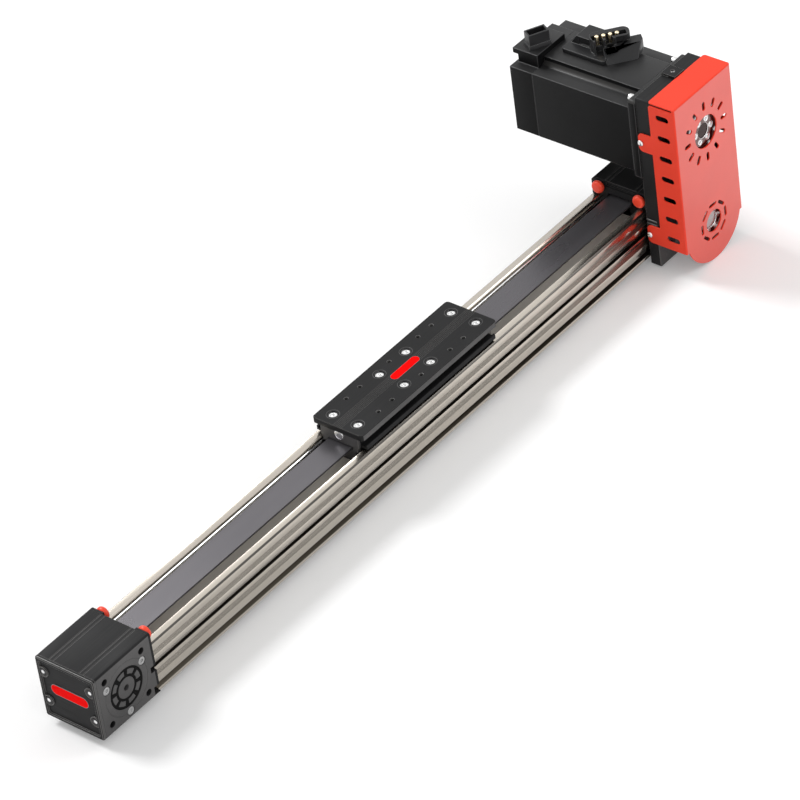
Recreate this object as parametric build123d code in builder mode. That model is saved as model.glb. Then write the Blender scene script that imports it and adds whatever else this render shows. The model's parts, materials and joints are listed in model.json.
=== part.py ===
from build123d import *
from math import atan2, cos, degrees, pi, radians, sin, tan
import os

# Belt-driven linear module with a side-mounted servo motor.
# The module lies along X, with its idler end at -X, its drive end at +X and Z up.
# The origin is at the middle of the base profile's underside.
# Lengths are in millimetres and angles in degrees.

# Base profile
profile_length = 750.0
profile_width = 65.0
profile_height = 55.0
profile_edge = 1.6
channel_width = 45.8
channel_depth = 16.5
channel_lip = 3.8
floor_thickness = 3.0
chamber_width = 40.0
return_chamber_height = 12.0
chamber_web = 2.5
core_diameter = 5.0
core_inset = 5.8
lower_core_z = 17.0
upper_core_drop = 4.5

# Long slots and ribbed bands of the profile
upper_slot_z = 30.3
upper_slot_mouth = 4.6
upper_slot_inner = 8.5
upper_slot_depth = 6.0
lower_slot_z = 6.3
lower_slot_mouth = 6.4
lower_slot_depth = 5.5
slot_lip = 2.0
base_slot_spacing = 32.0
base_slot_mouth = 5.2
base_slot_inner = 10.0
base_slot_depth = 5.8
rib_band_heights = (20.7, 43.2)
rib_count = 8
rib_pitch = 0.8
rib_groove = 0.5

# Guide rods pressed into the channel walls
rod_diameter = 8.0
rod_showing = 1.9
rod_seat_clearance = 0.05

# Fits that the pieces share
press_clearance = 0.02
running_clearance = 0.05
screw_clearance = 0.3
bolt_gap = 0.4

# Housings at both ends
housing_length = 71.5
housing_width = 70.0
housing_height = 70.0
housing_edge = 2.5
shaft_setback = 36.5
cavity_wall = 8.0
cavity_corner = 5.0
cavity_side_clearance = 0.75
top_groove_offsets = (15.7, 20.2)
top_groove = 0.8
side_hole_circle = 70.0
side_hole_count = 4
side_hole_start = 45.0
side_hole_diameter = 6.8
side_hole_depth = 14.0
notch_depth = 4.5
notch_margin = 0.9

# Plates between the profile and the housings
face_plate_thickness = 2.5
face_plate_dip = 5.3
face_plate_dip_width = 39.0
face_slot_height = 3.3
face_slot_depth = 2.0
belt_window_margin = 1.5
lower_window_width = 20.0

# End caps
end_cap_thickness = 3.5
end_cap_recess = 1.8
end_cap_border = 3.8
end_screw_spacing_y = 56.0
end_screw_spacing_z = 33.8
end_screw_centre_z = 37.0
end_boss_diameter = 10.6
end_boss_height = 1.2
end_screw_seat = 1.0
end_screw_head = 7.6
end_screw_head_height = 2.0

# Small socket screws that several pieces use
small_screw_shank = 4.8
small_screw_depth = 8.0
small_screw_head = 8.0
small_screw_head_height = 3.0
profile_screw_depth = 14.0
socket_share = 0.5

# Bumpers
bumper_diameter = 13.6
bumper_length = 6.5
bumper_dome = 3.0
bumper_spacing = 50.0
bumper_drop = 6.0
stud_diameter = 6.0
stud_length = 8.0

# Main belt and its pulleys
belt_pitch = 5.0
belt_width = 28.0
belt_thickness = 2.2
belt_gap = 0.3
pulley_teeth = 24
pitch_line_offset = 0.6
tooth_depth = 1.3
tooth_gap_width = 3.0
tooth_gap_floor = 2.0
flange_thickness = 1.2
flange_height = 1.0
pulley_side_gap = 0.3

# Shafts, bearings and bearing caps
shaft_diameter = 20.0
bearing_diameter = 37.0
bearing_width = 9.0
bearing_seal_step = 0.6
bearing_ring = 2.4
shoulder_bore = 30.0
cap_outer = 55.4
cap_thickness = 7.0
cap_seat_gap = 1.0
cap_screw_circle = 55.0
cap_screw_count = 3
cap_screw_start = -90.0
cap_screw_head = 8.2

# Jaw couplings on the shaft ends
coupling_diameter = 42.0
coupling_rim = 0.5
coupling_clearance = 0.3
hub_disc_thickness = 2.4
hub_disc_gap = 0.4
hub_boss_diameter = 21.4
hub_hole_diameter = 6.2
hub_hole_depth = 5.0
hub_recess = 0.3
jaw_count = 8
jaw_angle = 30.0
jaw_inner_diameter = 26.8
jaw_outer_diameter = 37.2
jaw_phase = 14.0
star_gap = 0.2
star_gap_angle = 1.5

# Carriage
carriage_rest_x = 36.0
carriage_length = 205.0
carriage_width = 61.0
plate_edge = 0.6
plate_thickness = 6.2
plate_corner = 4.0
plate_screw_middle = 20.0
plate_screw_edge = 13.0
plate_screw_y = 15.0
plate_screw_head = 8.6
plate_screw_recess = 1.0
tapped_edge = 38.0
tapped_row_gap = 20.5
tapped_y = 19.5
tapped_diameter = 5.0
strip_grooves = 6
strip_pitch = 1.9
strip_groove = 0.7
body_width = 45.0
body_height = 12.4
lip_gap = 2.4
lip_height = 2.4
hook_height = 2.4
hook_width = 2.0
neck_gap = 1.5
body_floor_gap = 0.9
body_end_inset = 1.5
end_plate_thickness = 3.5
end_plate_screw_drop = 4.4
belt_slot_clearance = 0.8

# Shoes that run on the rods, and clamps under the belt
shoe_length = 40.0
shoe_end_gap = 2.5
shoe_height = 8.0
shoe_thickness = 4.9
shoe_wall_gap = 0.5
shoe_play = 0.05
shoe_pocket_gap = 0.5
clamp_length = 34.0
clamp_spacing = 96.0
clamp_thickness = 3.0

# Bare label plates
label_thickness = 0.5
label_gap = 0.5
end_label_length = 45.0
end_label_width = 12.0
carriage_label_length = 39.0
carriage_label_width = 9.4

# Adapter plate between the drive housing and the motor
centre_distance = 107.0
adapter_thickness = 17.0
adapter_foot_thickness = 12.0
adapter_foot_top = 45.0
adapter_bottom_z = -6.5
adapter_top_margin = 4.5
adapter_corner = 2.0
adapter_bore = 26.0
adapter_screw_head = 13.0
adapter_screw_head_height = 8.0
adapter_screw_shank = 8.0
adapter_screw_depth = 10.0
ridge_heights = (43.8, 48.2)
ridge_width = 1.3
ridge_height = 0.8
tension_block_length = 15.5
tension_block_height = 3.2
tension_block_offset = 6.8
tension_slot_length = 7.0
tension_slot_height = 1.4
tension_slot_depth = 4.0
tension_slot_edge = 1.2
tension_screw_diameter = 4.4
tension_screw_sink = 1.0
tension_screw_depth = 16.0

# Belt reduction on the outside of the adapter plate
drive_belt_width = 20.0
drive_belt_thickness = 2.2
drive_pulley_teeth = 30
drive_pulley_gap = 3.5
drive_flange_height = 1.6
drive_shaft_diameter = 16.0
shaft_step_gap = 1.0
clamp_ring_diameter = 34.0
clamp_ring_length = 7.0
clamp_ring_sink = 6.0
clamp_screw_circle = 24.6
clamp_screw_count = 6
clamp_screw_head = 6.0
clamp_screw_shank = 4.0
clamp_screw_depth = 9.0
shaft_end_sink = 0.8

# Sheet-metal cover of the reduction
sheet = 1.5
cover_margin = 0.4
cover_depth = 31.0
cover_top_gap = 0.3
cover_side_gap = 0.2
cover_bend = 2.0
cover_end_inset = 2.4
cover_side_bottom_z = 22.0
cover_slit = 2.2
cover_slit_end = 3.0
cover_corner = 3.0
tab_reach = 16.0
tab_width = 21.0
tab_corner = 5.0
tab_heights = (32.5, 142.5)
side_vent_count = 7
side_vent_pitch = 24.07
side_vent_first_z = 34.6
side_vent_length = 15.3
side_vent_width = 6.4
window_diameter = 35.0
ray_count = 12
ray_inner_diameter = 49.2
ray_outer_diameter = 68.4
ray_width = 4.2
lower_window_diameter = 24.0
ring_slot_count = 8
ring_slot_circle = 38.0
ring_slot_length = 11.6
ring_slot_width = 3.4
cover_screw_head = 6.4
cover_screw_head_height = 2.2
cover_screw_shank = 2.9
cover_screw_depth = 8.0
cover_screw_edge = 4.4

# Servo motor
motor_size = 92.0
motor_flange_corner = 4.0
motor_flange_thickness = 8.0
motor_body_length = 117.0
motor_rear_length = 27.7
motor_lid_thickness = 3.0
motor_lid_inset = 4.0
scallop_width = 21.0
scallop_height = 8.5
scallop_radius = 6.0
pilot_diameter = 50.0
pilot_height = 3.0
motor_screw_edge_x = 10.5
motor_screw_edge_z = 4.3
motor_screw_head = 8.0
motor_screw_head_height = 5.0
motor_screw_depth = 14.0

# Sockets on the motor
ledge_left = -35.0
ledge_right = 10.0
ledge_thickness = 6.0
signal_socket_length = 22.0
signal_socket_width = 12.0
signal_socket_height = 16.4
signal_socket_x = -18.0
signal_socket_back = 12.0
signal_socket_turn = -28.0
signal_socket_wall = 1.8
signal_socket_depth = 12.0
signal_foot_margin = 1.6
signal_foot_height = 4.0
signal_foot_taper = 18.0
connector_x = 4.0
connector_start = 70.5
connector_turn = -40.0
connector_foot_left = -11.0
connector_foot_right = 32.0
connector_foot_front = 62.0
connector_foot_back = 114.0
connector_foot_height = 5.0
connector_foot_corner = 3.0
connector_block_length = 40.0
connector_block_width = 16.0
connector_block_height = 20.5
connector_block_corner = 7.0
connector_block_shift = 7.0
connector_nose_start = -3.0
connector_nose_end = 38.0
connector_nose_height = 12.5
connector_nose_foot = 16.0
connector_nose_top = 5.0
connector_nose_skew = 9.5
connector_grip_shift = 18.0
connector_grip_length = 12.0
connector_grip_depth = 3.0
connector_grip_height = 1.2
connector_hump_left = 2.0
connector_hump_width = 22.0
connector_hump_height = 15.0
connector_hump_front = 80.0
connector_hump_back = 104.0
connector_panel_middle = 93.5
connector_panel_length = 15.0
connector_panel_height = 8.0
connector_panel_depth = 1.5
trough_shift = 6.25
trough_length = 34.5
trough_middle = 6.3
trough_width = 7.0
trough_depth = 9.0
pin_count = 4
pin_pitch = 6.8
pin_shift = 4.0
pin_diameter = 4.2
pin_rise = 1.5
pin_edge = 0.8
connector_ribs = 3
connector_rib_pitch = 10.2
connector_rib_width = 2.2
connector_rib_reach = 1.5

# Values worked out from the sizes above


def circle_places(diameter, count, start=0.0):
    # Evenly spaced places on a circle round the origin.
    turns = [radians(start + 360 * i / count) for i in range(count)]
    return [(diameter / 2 * cos(turn), diameter / 2 * sin(turn)) for turn in turns]


profile_end = profile_length / 2
housing_start = profile_end + face_plate_thickness
housing_end = housing_start + housing_length
shaft_x = housing_start + shaft_setback
shaft_z = housing_height / 2
side_y = housing_width / 2
channel_floor = profile_height - channel_depth
rod_y = channel_width / 2 + rod_diameter / 2 - rod_showing
rod_z = profile_height - channel_lip - rod_diameter / 2
core_y = profile_width / 2 - core_inset
upper_core_z = channel_floor + upper_core_drop - small_screw_head / 2
core_places = [(side * core_y, z) for side in (-1, 1) for z in (lower_core_z, upper_core_z)]
stop_places = [(side * bumper_spacing / 2, housing_height - bumper_drop) for side in (-1, 1)]
end_screw_places = [
    (y * end_screw_spacing_y / 2, end_screw_centre_z + z * end_screw_spacing_z / 2)
    for y in (-1, 1)
    for z in (-1, 1)
]

tip_radius = pulley_teeth * belt_pitch / (2 * pi) - pitch_line_offset
belt_inner = tip_radius + belt_gap
belt_outer = belt_inner + belt_thickness
belt_top_z = shaft_z + belt_outer
belt_under_z = shaft_z + belt_inner
return_z = shaft_z - (belt_inner + belt_outer) / 2
flange_radius = belt_outer + flange_height
pulley_half = belt_width / 2 + pulley_side_gap
cavity_half = pulley_half + flange_thickness + cavity_side_clearance

side_hole_places = circle_places(side_hole_circle, side_hole_count, side_hole_start)
cap_screw_places = circle_places(cap_screw_circle, cap_screw_count, cap_screw_start)
cap_inner_y = side_y - cap_thickness
bearing_y = cap_inner_y - cap_seat_gap - bearing_width
cap_bore = coupling_diameter + 2 * coupling_clearance
hub_disc_y = cap_inner_y - hub_disc_gap
jaw_y = hub_disc_y + hub_disc_thickness
hub_face_y = side_y - hub_recess

body_lip_z = profile_height + lip_gap
plate_under_z = body_lip_z + body_height
plate_top_z = plate_under_z + plate_thickness
body_bottom_z = channel_floor + body_floor_gap
body_length = carriage_length - 2 * (body_end_inset + end_plate_thickness)
belt_slot_low = belt_under_z - belt_slot_clearance
belt_slot_high = belt_top_z + belt_slot_clearance
shoe_reach = channel_width / 2 - shoe_wall_gap
shoe_back = shoe_reach - shoe_thickness
shoe_x = body_length / 2 - shoe_end_gap - shoe_length / 2
screw_sink = plate_screw_recess + small_screw_head_height
plate_screw_xs = (plate_screw_middle, carriage_length / 2 - plate_screw_edge)
plate_screw_places = [
    (carriage_rest_x + a * x, b * plate_screw_y) for x in plate_screw_xs for a in (-1, 1) for b in (-1, 1)
]
tapped_outer = carriage_length / 2 - tapped_edge
tapped_xs = (0.0, tapped_outer - tapped_row_gap, tapped_outer)
tapped_places = sorted(
    {(carriage_rest_x + a * x, b * tapped_y) for x in tapped_xs for a in (-1, 1) for b in (-1, 1)}
)
clamp_places = [(carriage_rest_x + side * clamp_spacing / 2, 0) for side in (-1, 1)]

motor_z = shaft_z + centre_distance
motor_top_z = motor_z + motor_size / 2
adapter_top_z = motor_top_z + adapter_top_margin
adapter_y = -side_y - adapter_thickness
foot_y = -side_y - adapter_foot_thickness
cover_width = motor_size + 2 * cover_margin
adapter_width = cover_width - 2 * (sheet + cover_side_gap)
adapter_seat_y = foot_y + adapter_screw_head_height + bolt_gap
adapter_screw_places = [(x, shaft_z + z) for x, z in side_hole_places]
motor_screw_x = motor_size / 2 - motor_screw_edge_x
motor_screw_z = motor_size / 2 - motor_screw_edge_z
motor_screw_places = [(x * motor_screw_x, motor_z + z * motor_screw_z) for x in (-1, 1) for z in (-1, 1)]

drive_tip_radius = drive_pulley_teeth * belt_pitch / (2 * pi) - pitch_line_offset
drive_belt_inner = drive_tip_radius + belt_gap
drive_belt_outer = drive_belt_inner + drive_belt_thickness
drive_pulley_y = adapter_y - drive_pulley_gap
drive_pulley_width = drive_belt_width + 2 * pulley_side_gap
drive_pulley_end_y = drive_pulley_y - drive_pulley_width - 2 * flange_thickness
clamp_ring_y = drive_pulley_end_y + clamp_ring_sink
clamp_face_y = clamp_ring_y - clamp_ring_length
shaft_end_y = clamp_face_y + shaft_end_sink
clamp_screw_places = circle_places(clamp_screw_circle, clamp_screw_count)

cover_front_y = adapter_y - cover_depth
cover_top_z = adapter_top_z + cover_top_gap + sheet
cover_bottom_radius = cover_width / 2 - cover_end_inset
motor_body_y = -side_y + motor_flange_thickness
motor_rear_y = motor_body_y + motor_body_length

os.makedirs("parts", exist_ok=True)


def save(piece, name):
    # Label the finished piece and write it out.
    piece.part.label = name
    export_step(piece.part, f"parts/{name}.step")


def section_at(x):
    # Cross-section plane of the module: its own axes run along Y and Z.
    return Plane.YZ.offset(x)


def end_face(end, x):
    # Plane across the module whose normal points out at that end.
    return Plane(origin=(x, 0, 0), x_dir=(0, end, 0), z_dir=(end, 0, 0))


def side_face(x, y, z):
    # Plane that looks towards -Y: its own axes run along X and Z.
    return Plane(origin=(x, y, z), x_dir=(1, 0, 0), z_dir=(0, -1, 0))


def turned_plane(x, y, z, turn):
    # Level plane, x across the drive shaft, turned about the vertical.
    across = (cos(radians(turn)), sin(radians(turn)), 0)
    return Plane(origin=(shaft_x + x, y, z), x_dir=across, z_dir=(0, 0, 1))


def discs(plane, places, diameter, amount, mode=Mode.ADD):
    # Round bosses or holes at the given places of a plane.
    with BuildSketch(plane) as circles:
        with Locations(*places):
            Circle(diameter / 2)
    extrude(circles.sketch, amount=amount, mode=mode)


def hex_sockets(plane, places, head, depth):
    # Sockets for a hexagon key.
    with BuildSketch(plane) as hexagons:
        with Locations(*places):
            RegularPolygon(head * socket_share / 2, 6)
    extrude(hexagons.sketch, amount=-depth, mode=Mode.SUBTRACT)


def socket_screws(plane, places, head, head_height, shank, depth):
    # Heads rise from the plane, and shanks go below it.
    discs(plane, places, head, head_height)
    discs(plane, places, shank, -depth)
    hex_sockets(plane.offset(head_height), places, head, head_height / 2)


# Base profile: a U-shaped extrusion, with a channel on top for the carriage
with BuildPart() as base_profile:
    with BuildSketch(section_at(-profile_end)) as profile_section:
        with Locations((0, profile_height / 2)):
            Rectangle(profile_width, profile_height)
        with Locations((0, profile_height)):
            Rectangle(channel_width, 2 * channel_depth, mode=Mode.SUBTRACT)
        chamfer(profile_section.vertices().group_by(Axis.Y)[-1], profile_edge)
        with Locations((-rod_y, rod_z), (rod_y, rod_z)):
            Circle(rod_diameter / 2 + rod_seat_clearance, mode=Mode.SUBTRACT)
        with Locations(*core_places):
            Circle(core_diameter / 2, mode=Mode.SUBTRACT)
        # Hollow chambers: the lower one holds the belt's return run
        with Locations((0, return_z)):
            Rectangle(chamber_width, return_chamber_height, mode=Mode.SUBTRACT)
        web_top = return_z + return_chamber_height / 2 + chamber_web
        chamber_height = channel_floor - floor_thickness - web_top
        with Locations((0, web_top + chamber_height / 2)):
            Rectangle(chamber_width, chamber_height, mode=Mode.SUBTRACT)
        for side in (-1, 1):
            wall_y = side * profile_width / 2
            undercut = upper_slot_depth - slot_lip
            with Locations((wall_y, upper_slot_z)):
                Rectangle(2 * upper_slot_depth, upper_slot_mouth, mode=Mode.SUBTRACT)
            with Locations((wall_y - side * (slot_lip + undercut / 2), upper_slot_z)):
                Rectangle(undercut, upper_slot_inner, mode=Mode.SUBTRACT)
            with Locations((wall_y, lower_slot_z)):
                Rectangle(2 * lower_slot_depth, lower_slot_mouth, mode=Mode.SUBTRACT)
            base_slot_y = side * base_slot_spacing / 2
            undercut = base_slot_depth - slot_lip
            with Locations((base_slot_y, 0)):
                Rectangle(base_slot_mouth, 2 * base_slot_depth, mode=Mode.SUBTRACT)
            with Locations((base_slot_y, slot_lip + undercut / 2)):
                Rectangle(base_slot_inner, undercut, mode=Mode.SUBTRACT)
            for band_z in rib_band_heights:
                with Locations((wall_y, band_z)):
                    with GridLocations(1, rib_pitch, 1, rib_count):
                        Rectangle(rib_groove, rib_groove, rotation=45, mode=Mode.SUBTRACT)
    extrude(amount=profile_length)
save(base_profile, "base_profile")

# Steel guide rods, pressed into the channel walls under the lips
with BuildPart() as guide_rods:
    discs(section_at(-profile_end), [(-rod_y, rod_z), (rod_y, rod_z)], rod_diameter, profile_length)
save(guide_rods, "guide_rods")


def housing_outline():
    # Outline that the housings, face plates and end caps share.
    with Locations((0, housing_height / 2)):
        RectangleRounded(housing_width, housing_height, housing_edge)


def slot_notches(plane, depth):
    # Openings in the side walls, in line with the profile's side slots.
    reach = side_y - profile_width / 2 + upper_slot_depth
    with BuildSketch(plane) as notches:
        for side in (-1, 1):
            with Locations((side * side_y, upper_slot_z)):
                Rectangle(2 * reach, upper_slot_mouth + 2 * notch_margin)
            with Locations((side * side_y, lower_slot_z)):
                Rectangle(2 * reach, lower_slot_mouth + 2 * notch_margin)
    extrude(notches.sketch, amount=depth, mode=Mode.SUBTRACT)


def cap_screw_holes(x, side):
    # Sunk seats and holes for the cap screws, half in the cap, half in the wall.
    face = side_face(x, side * side_y, shaft_z)
    sink = small_screw_head_height
    discs(face, cap_screw_places, cap_screw_head + 2 * screw_clearance, side * sink, Mode.SUBTRACT)
    hole = small_screw_shank + 2 * press_clearance
    discs(face, cap_screw_places, hole, side * (sink + small_screw_depth), Mode.SUBTRACT)


def make_housing(end, name, near_hole):
    # End housing; end is -1 at the idler and +1 at the drive, near_hole is the hole size on the -y side.
    x = end * shaft_x
    inner = section_at(end * housing_start)
    with BuildPart() as housing:
        with BuildSketch(inner):
            housing_outline()
        extrude(amount=end * housing_length)
        # Pocket for the pulley, milled from the profile's side
        with BuildSketch(inner):
            with Locations((0, shaft_z)):
                RectangleRounded(2 * cavity_half, housing_height - 2 * cavity_wall, cavity_corner)
        extrude(amount=end * (housing_length - cavity_wall), mode=Mode.SUBTRACT)
        for side in (-1, 1):
            # Shoulder, bearing seat and cap seat, from the inside out
            bores = (
                (shoulder_bore, 0, bearing_y),
                (bearing_diameter + 2 * press_clearance, bearing_y, cap_inner_y - cap_seat_gap),
                (cap_bore, cap_inner_y - cap_seat_gap, cap_inner_y),
                (cap_outer + 2 * press_clearance, cap_inner_y, side_y),
            )
            for diameter, low, high in bores:
                bore_face = side_face(x, side * high, shaft_z)
                discs(bore_face, [(0, 0)], diameter, side * (high - low), Mode.SUBTRACT)
            cap_screw_holes(x, side)
            hole = near_hole if side < 0 else side_hole_diameter
            seat = side_face(x, side * side_y, shaft_z)
            discs(seat, side_hole_places, hole, side * side_hole_depth, Mode.SUBTRACT)
        # Fine grooves along the top
        with BuildSketch(inner):
            for offset in top_groove_offsets:
                with Locations((-offset, housing_height), (offset, housing_height)):
                    Rectangle(top_groove, top_groove, rotation=45)
        extrude(amount=end * housing_length, mode=Mode.SUBTRACT)
        # Shallow slot above the lowered part of the face plate
        with BuildSketch(inner):
            with Locations((0, housing_height - face_plate_dip + face_slot_height / 2)):
                Rectangle(face_plate_dip_width, face_slot_height)
        extrude(amount=end * face_slot_depth, mode=Mode.SUBTRACT)
        slot_notches(inner, end * notch_depth)
        stud_hole = stud_diameter + 2 * press_clearance
        stud_depth = stud_length - face_plate_thickness
        discs(inner, stop_places, stud_hole, end * stud_depth, Mode.SUBTRACT)
        pocket = small_screw_head + 2 * screw_clearance
        pocket_depth = small_screw_head_height + bolt_gap
        discs(inner, core_places, pocket, end * pocket_depth, Mode.SUBTRACT)
        outer = section_at(end * housing_end)
        hole = small_screw_shank + 2 * press_clearance
        hole_depth = small_screw_depth - end_screw_seat
        discs(outer, end_screw_places, hole, -end * hole_depth, Mode.SUBTRACT)
    save(housing, name)


def make_face_plate(end, name):
    # Thin plate between the profile and a housing, with windows for the belt.
    start = section_at(end * profile_end)
    window_width = belt_width + 2 * belt_window_margin
    with BuildPart() as face_plate:
        with BuildSketch(start):
            housing_outline()
            with Locations((0, housing_height)):
                Rectangle(face_plate_dip_width, 2 * face_plate_dip, mode=Mode.SUBTRACT)
            with Locations((0, (belt_under_z + belt_top_z) / 2)):
                Rectangle(window_width, belt_thickness + 2 * belt_window_margin, mode=Mode.SUBTRACT)
            with Locations((0, (channel_floor + belt_under_z) / 2)):
                Rectangle(lower_window_width, belt_under_z - channel_floor, mode=Mode.SUBTRACT)
            with Locations((0, return_z)):
                Rectangle(window_width, return_chamber_height, mode=Mode.SUBTRACT)
            with Locations(*stop_places):
                Circle(stud_diameter / 2 + press_clearance, mode=Mode.SUBTRACT)
            with Locations(*core_places):
                Circle(core_diameter / 2, mode=Mode.SUBTRACT)
        extrude(amount=end * face_plate_thickness)
        slot_notches(start, end * face_plate_thickness)
    save(face_plate, name)


def make_end_cap(end, name):
    # Cap on the far face of a housing, with a raised border and screw bosses.
    seat = section_at(end * housing_end)
    face = section_at(end * (housing_end + end_cap_thickness))
    with BuildPart() as end_cap:
        with BuildSketch(seat):
            housing_outline()
        extrude(amount=end * end_cap_thickness)
        with BuildSketch(face):
            with Locations((0, housing_height / 2)):
                RectangleRounded(
                    housing_width - 2 * end_cap_border, housing_height - 2 * end_cap_border, housing_edge
                )
        extrude(amount=-end * end_cap_recess, mode=Mode.SUBTRACT)
        recess_floor = section_at(end * (housing_end + end_cap_thickness - end_cap_recess))
        discs(recess_floor, end_screw_places, end_boss_diameter, end * end_boss_height)
        pocket_depth = end_cap_thickness - end_screw_seat
        pocket = end_screw_head + 2 * screw_clearance
        discs(face, end_screw_places, pocket, -end * pocket_depth, Mode.SUBTRACT)
        hole = small_screw_shank + 2 * press_clearance
        discs(face, end_screw_places, hole, -end * end_cap_thickness, Mode.SUBTRACT)
        rim = end_cap.faces().sort_by(Axis.X)[-1 if end > 0 else 0].outer_wire()
        chamfer(rim.edges(), end_screw_seat)
    save(end_cap, name)


def make_bearings(x, name):
    # Two sealed ball bearings, one in each side wall.
    with BuildPart() as bearings:
        for side in (-1, 1):
            inner = side_face(x, side * bearing_y, shaft_z)
            with BuildSketch(inner):
                Circle(bearing_diameter / 2)
                Circle(shaft_diameter / 2 + running_clearance, mode=Mode.SUBTRACT)
            extrude(amount=-side * bearing_width)
            with BuildSketch(side_face(x, side * (bearing_y + bearing_width), shaft_z)):
                Circle(bearing_diameter / 2 - bearing_ring)
                Circle(shaft_diameter / 2 + bearing_ring, mode=Mode.SUBTRACT)
            extrude(amount=side * bearing_seal_step, mode=Mode.SUBTRACT)
    save(bearings, name)


def make_bearing_caps(x, name):
    # Round caps in the side walls, each held by three screws on its rim.
    with BuildPart() as caps:
        for side in (-1, 1):
            with BuildSketch(side_face(x, side * side_y, shaft_z)):
                Circle(cap_outer / 2)
                Circle(cap_bore / 2, mode=Mode.SUBTRACT)
            extrude(amount=side * cap_thickness)
            cap_screw_holes(x, side)
    save(caps, name)


def make_pulley(x, y, z, teeth, tip, width, flange, bore, name, clamped=False):
    # Toothed pulley with two flanges; y is its face that looks towards +Y.
    with BuildPart() as pulley:
        with BuildSketch(side_face(x, y - flange_thickness, z)):
            Circle(tip)
            with PolarLocations(0, teeth):
                Polygon(
                    (tip - tooth_depth, -tooth_gap_floor / 2),
                    (tip + tooth_depth, -tooth_gap_width / 2),
                    (tip + tooth_depth, tooth_gap_width / 2),
                    (tip - tooth_depth, tooth_gap_floor / 2),
                    align=None,
                    mode=Mode.SUBTRACT,
                )
        extrude(amount=width)
        for flange_y in (y, y - flange_thickness - width):
            discs(side_face(x, flange_y, z), [(0, 0)], 2 * flange, flange_thickness)
        length = width + 2 * flange_thickness
        discs(side_face(x, y, z), [(0, 0)], bore + 2 * press_clearance, length, Mode.SUBTRACT)
        if clamped:
            # Seat for the clamp ring, and holes for its screws
            seat_bore = clamp_ring_diameter + 2 * press_clearance
            discs(side_face(x, y - length, z), [(0, 0)], seat_bore, -clamp_ring_sink, Mode.SUBTRACT)
            hole = clamp_screw_shank + 2 * press_clearance
            hole_depth = clamp_screw_depth - clamp_ring_length + small_screw_head_height
            discs(side_face(x, clamp_ring_y, z), clamp_screw_places, hole, -hole_depth, Mode.SUBTRACT)
    save(pulley, name)


def jaw_sectors(inner_diameter, outer_diameter, angle):
    # Eight sectors of a ring, one for each jaw.
    reach = outer_diameter
    rise = reach * tan(radians(angle / 2))
    with BuildSketch() as sectors:
        with PolarLocations(0, jaw_count, start_angle=jaw_phase):
            Polygon((0, 0), (reach, -rise), (reach, rise), align=None)
        Circle(outer_diameter / 2, mode=Mode.INTERSECT)
        Circle(inner_diameter / 2, mode=Mode.SUBTRACT)
    return sectors.sketch


jaws = jaw_sectors(jaw_inner_diameter, jaw_outer_diameter, jaw_angle)
jaw_windows = jaw_sectors(
    jaw_inner_diameter - 2 * star_gap, jaw_outer_diameter + 2 * star_gap, jaw_angle + 2 * star_gap_angle
)


def make_coupling_hubs(x, sides, name):
    # Coupling halves on the shaft ends, a little below the side walls.
    with BuildPart() as hubs:
        for side in sides:
            disc = coupling_diameter - 2 * coupling_rim
            discs(side_face(x, side * hub_disc_y, shaft_z), [(0, 0)], disc, -side * hub_disc_thickness)
            with BuildSketch(side_face(x, side * jaw_y, shaft_z)):
                Circle(hub_boss_diameter / 2)
                add(jaws)
            extrude(amount=-side * (hub_face_y - jaw_y))
            front = side_face(x, side * hub_face_y, shaft_z)
            discs(front, [(0, 0)], hub_hole_diameter, side * hub_hole_depth, Mode.SUBTRACT)
    save(hubs, name)


def make_coupling_stars(x, sides, name):
    # Elastic stars round the jaws.
    with BuildPart() as stars:
        for side in sides:
            with BuildSketch(side_face(x, side * (jaw_y + star_gap), shaft_z)):
                Circle(coupling_diameter / 2)
                Circle(hub_boss_diameter / 2 + star_gap, mode=Mode.SUBTRACT)
                add(jaw_windows, mode=Mode.SUBTRACT)
            extrude(amount=-side * (hub_face_y - jaw_y - star_gap))
    save(stars, name)


# The holes that the adapter's screws fill have the size of their threads
near_holes = {-1: side_hole_diameter, 1: adapter_screw_shank + 2 * press_clearance}
for end, name in ((-1, "idler"), (1, "drive")):
    make_housing(end, f"{name}_housing", near_holes[end])
    make_face_plate(end, f"{name}_face_plate")
    make_end_cap(end, f"{name}_end_cap")
    make_bearings(end * shaft_x, f"{name}_bearings")
    make_bearing_caps(end * shaft_x, f"{name}_bearing_caps")
    make_pulley(
        end * shaft_x,
        pulley_half + flange_thickness,
        shaft_z,
        pulley_teeth,
        tip_radius,
        2 * pulley_half,
        flange_radius,
        shaft_diameter,
        f"{name}_pulley",
    )
make_coupling_hubs(-shaft_x, (-1, 1), "idler_coupling_hubs")
make_coupling_stars(-shaft_x, (-1, 1), "idler_coupling_stars")
make_coupling_hubs(shaft_x, (1,), "drive_coupling_hub")
make_coupling_stars(shaft_x, (1,), "drive_coupling_star")

with BuildPart() as end_cap_screws:
    for end in (-1, 1):
        head_plane = end_face(end, end * (housing_end + end_screw_seat))
        socket_screws(
            head_plane,
            end_screw_places,
            end_screw_head,
            end_screw_head_height,
            small_screw_shank,
            small_screw_depth,
        )
save(end_cap_screws, "end_cap_screws")

# Screws that hold the face plates to the profile's screw cores
with BuildPart() as profile_screws:
    for end in (-1, 1):
        socket_screws(
            end_face(-end, end * housing_start),
            core_places,
            small_screw_head,
            -small_screw_head_height,
            core_diameter - 2 * press_clearance,
            -profile_screw_depth,
        )
save(profile_screws, "profile_screws")

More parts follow.
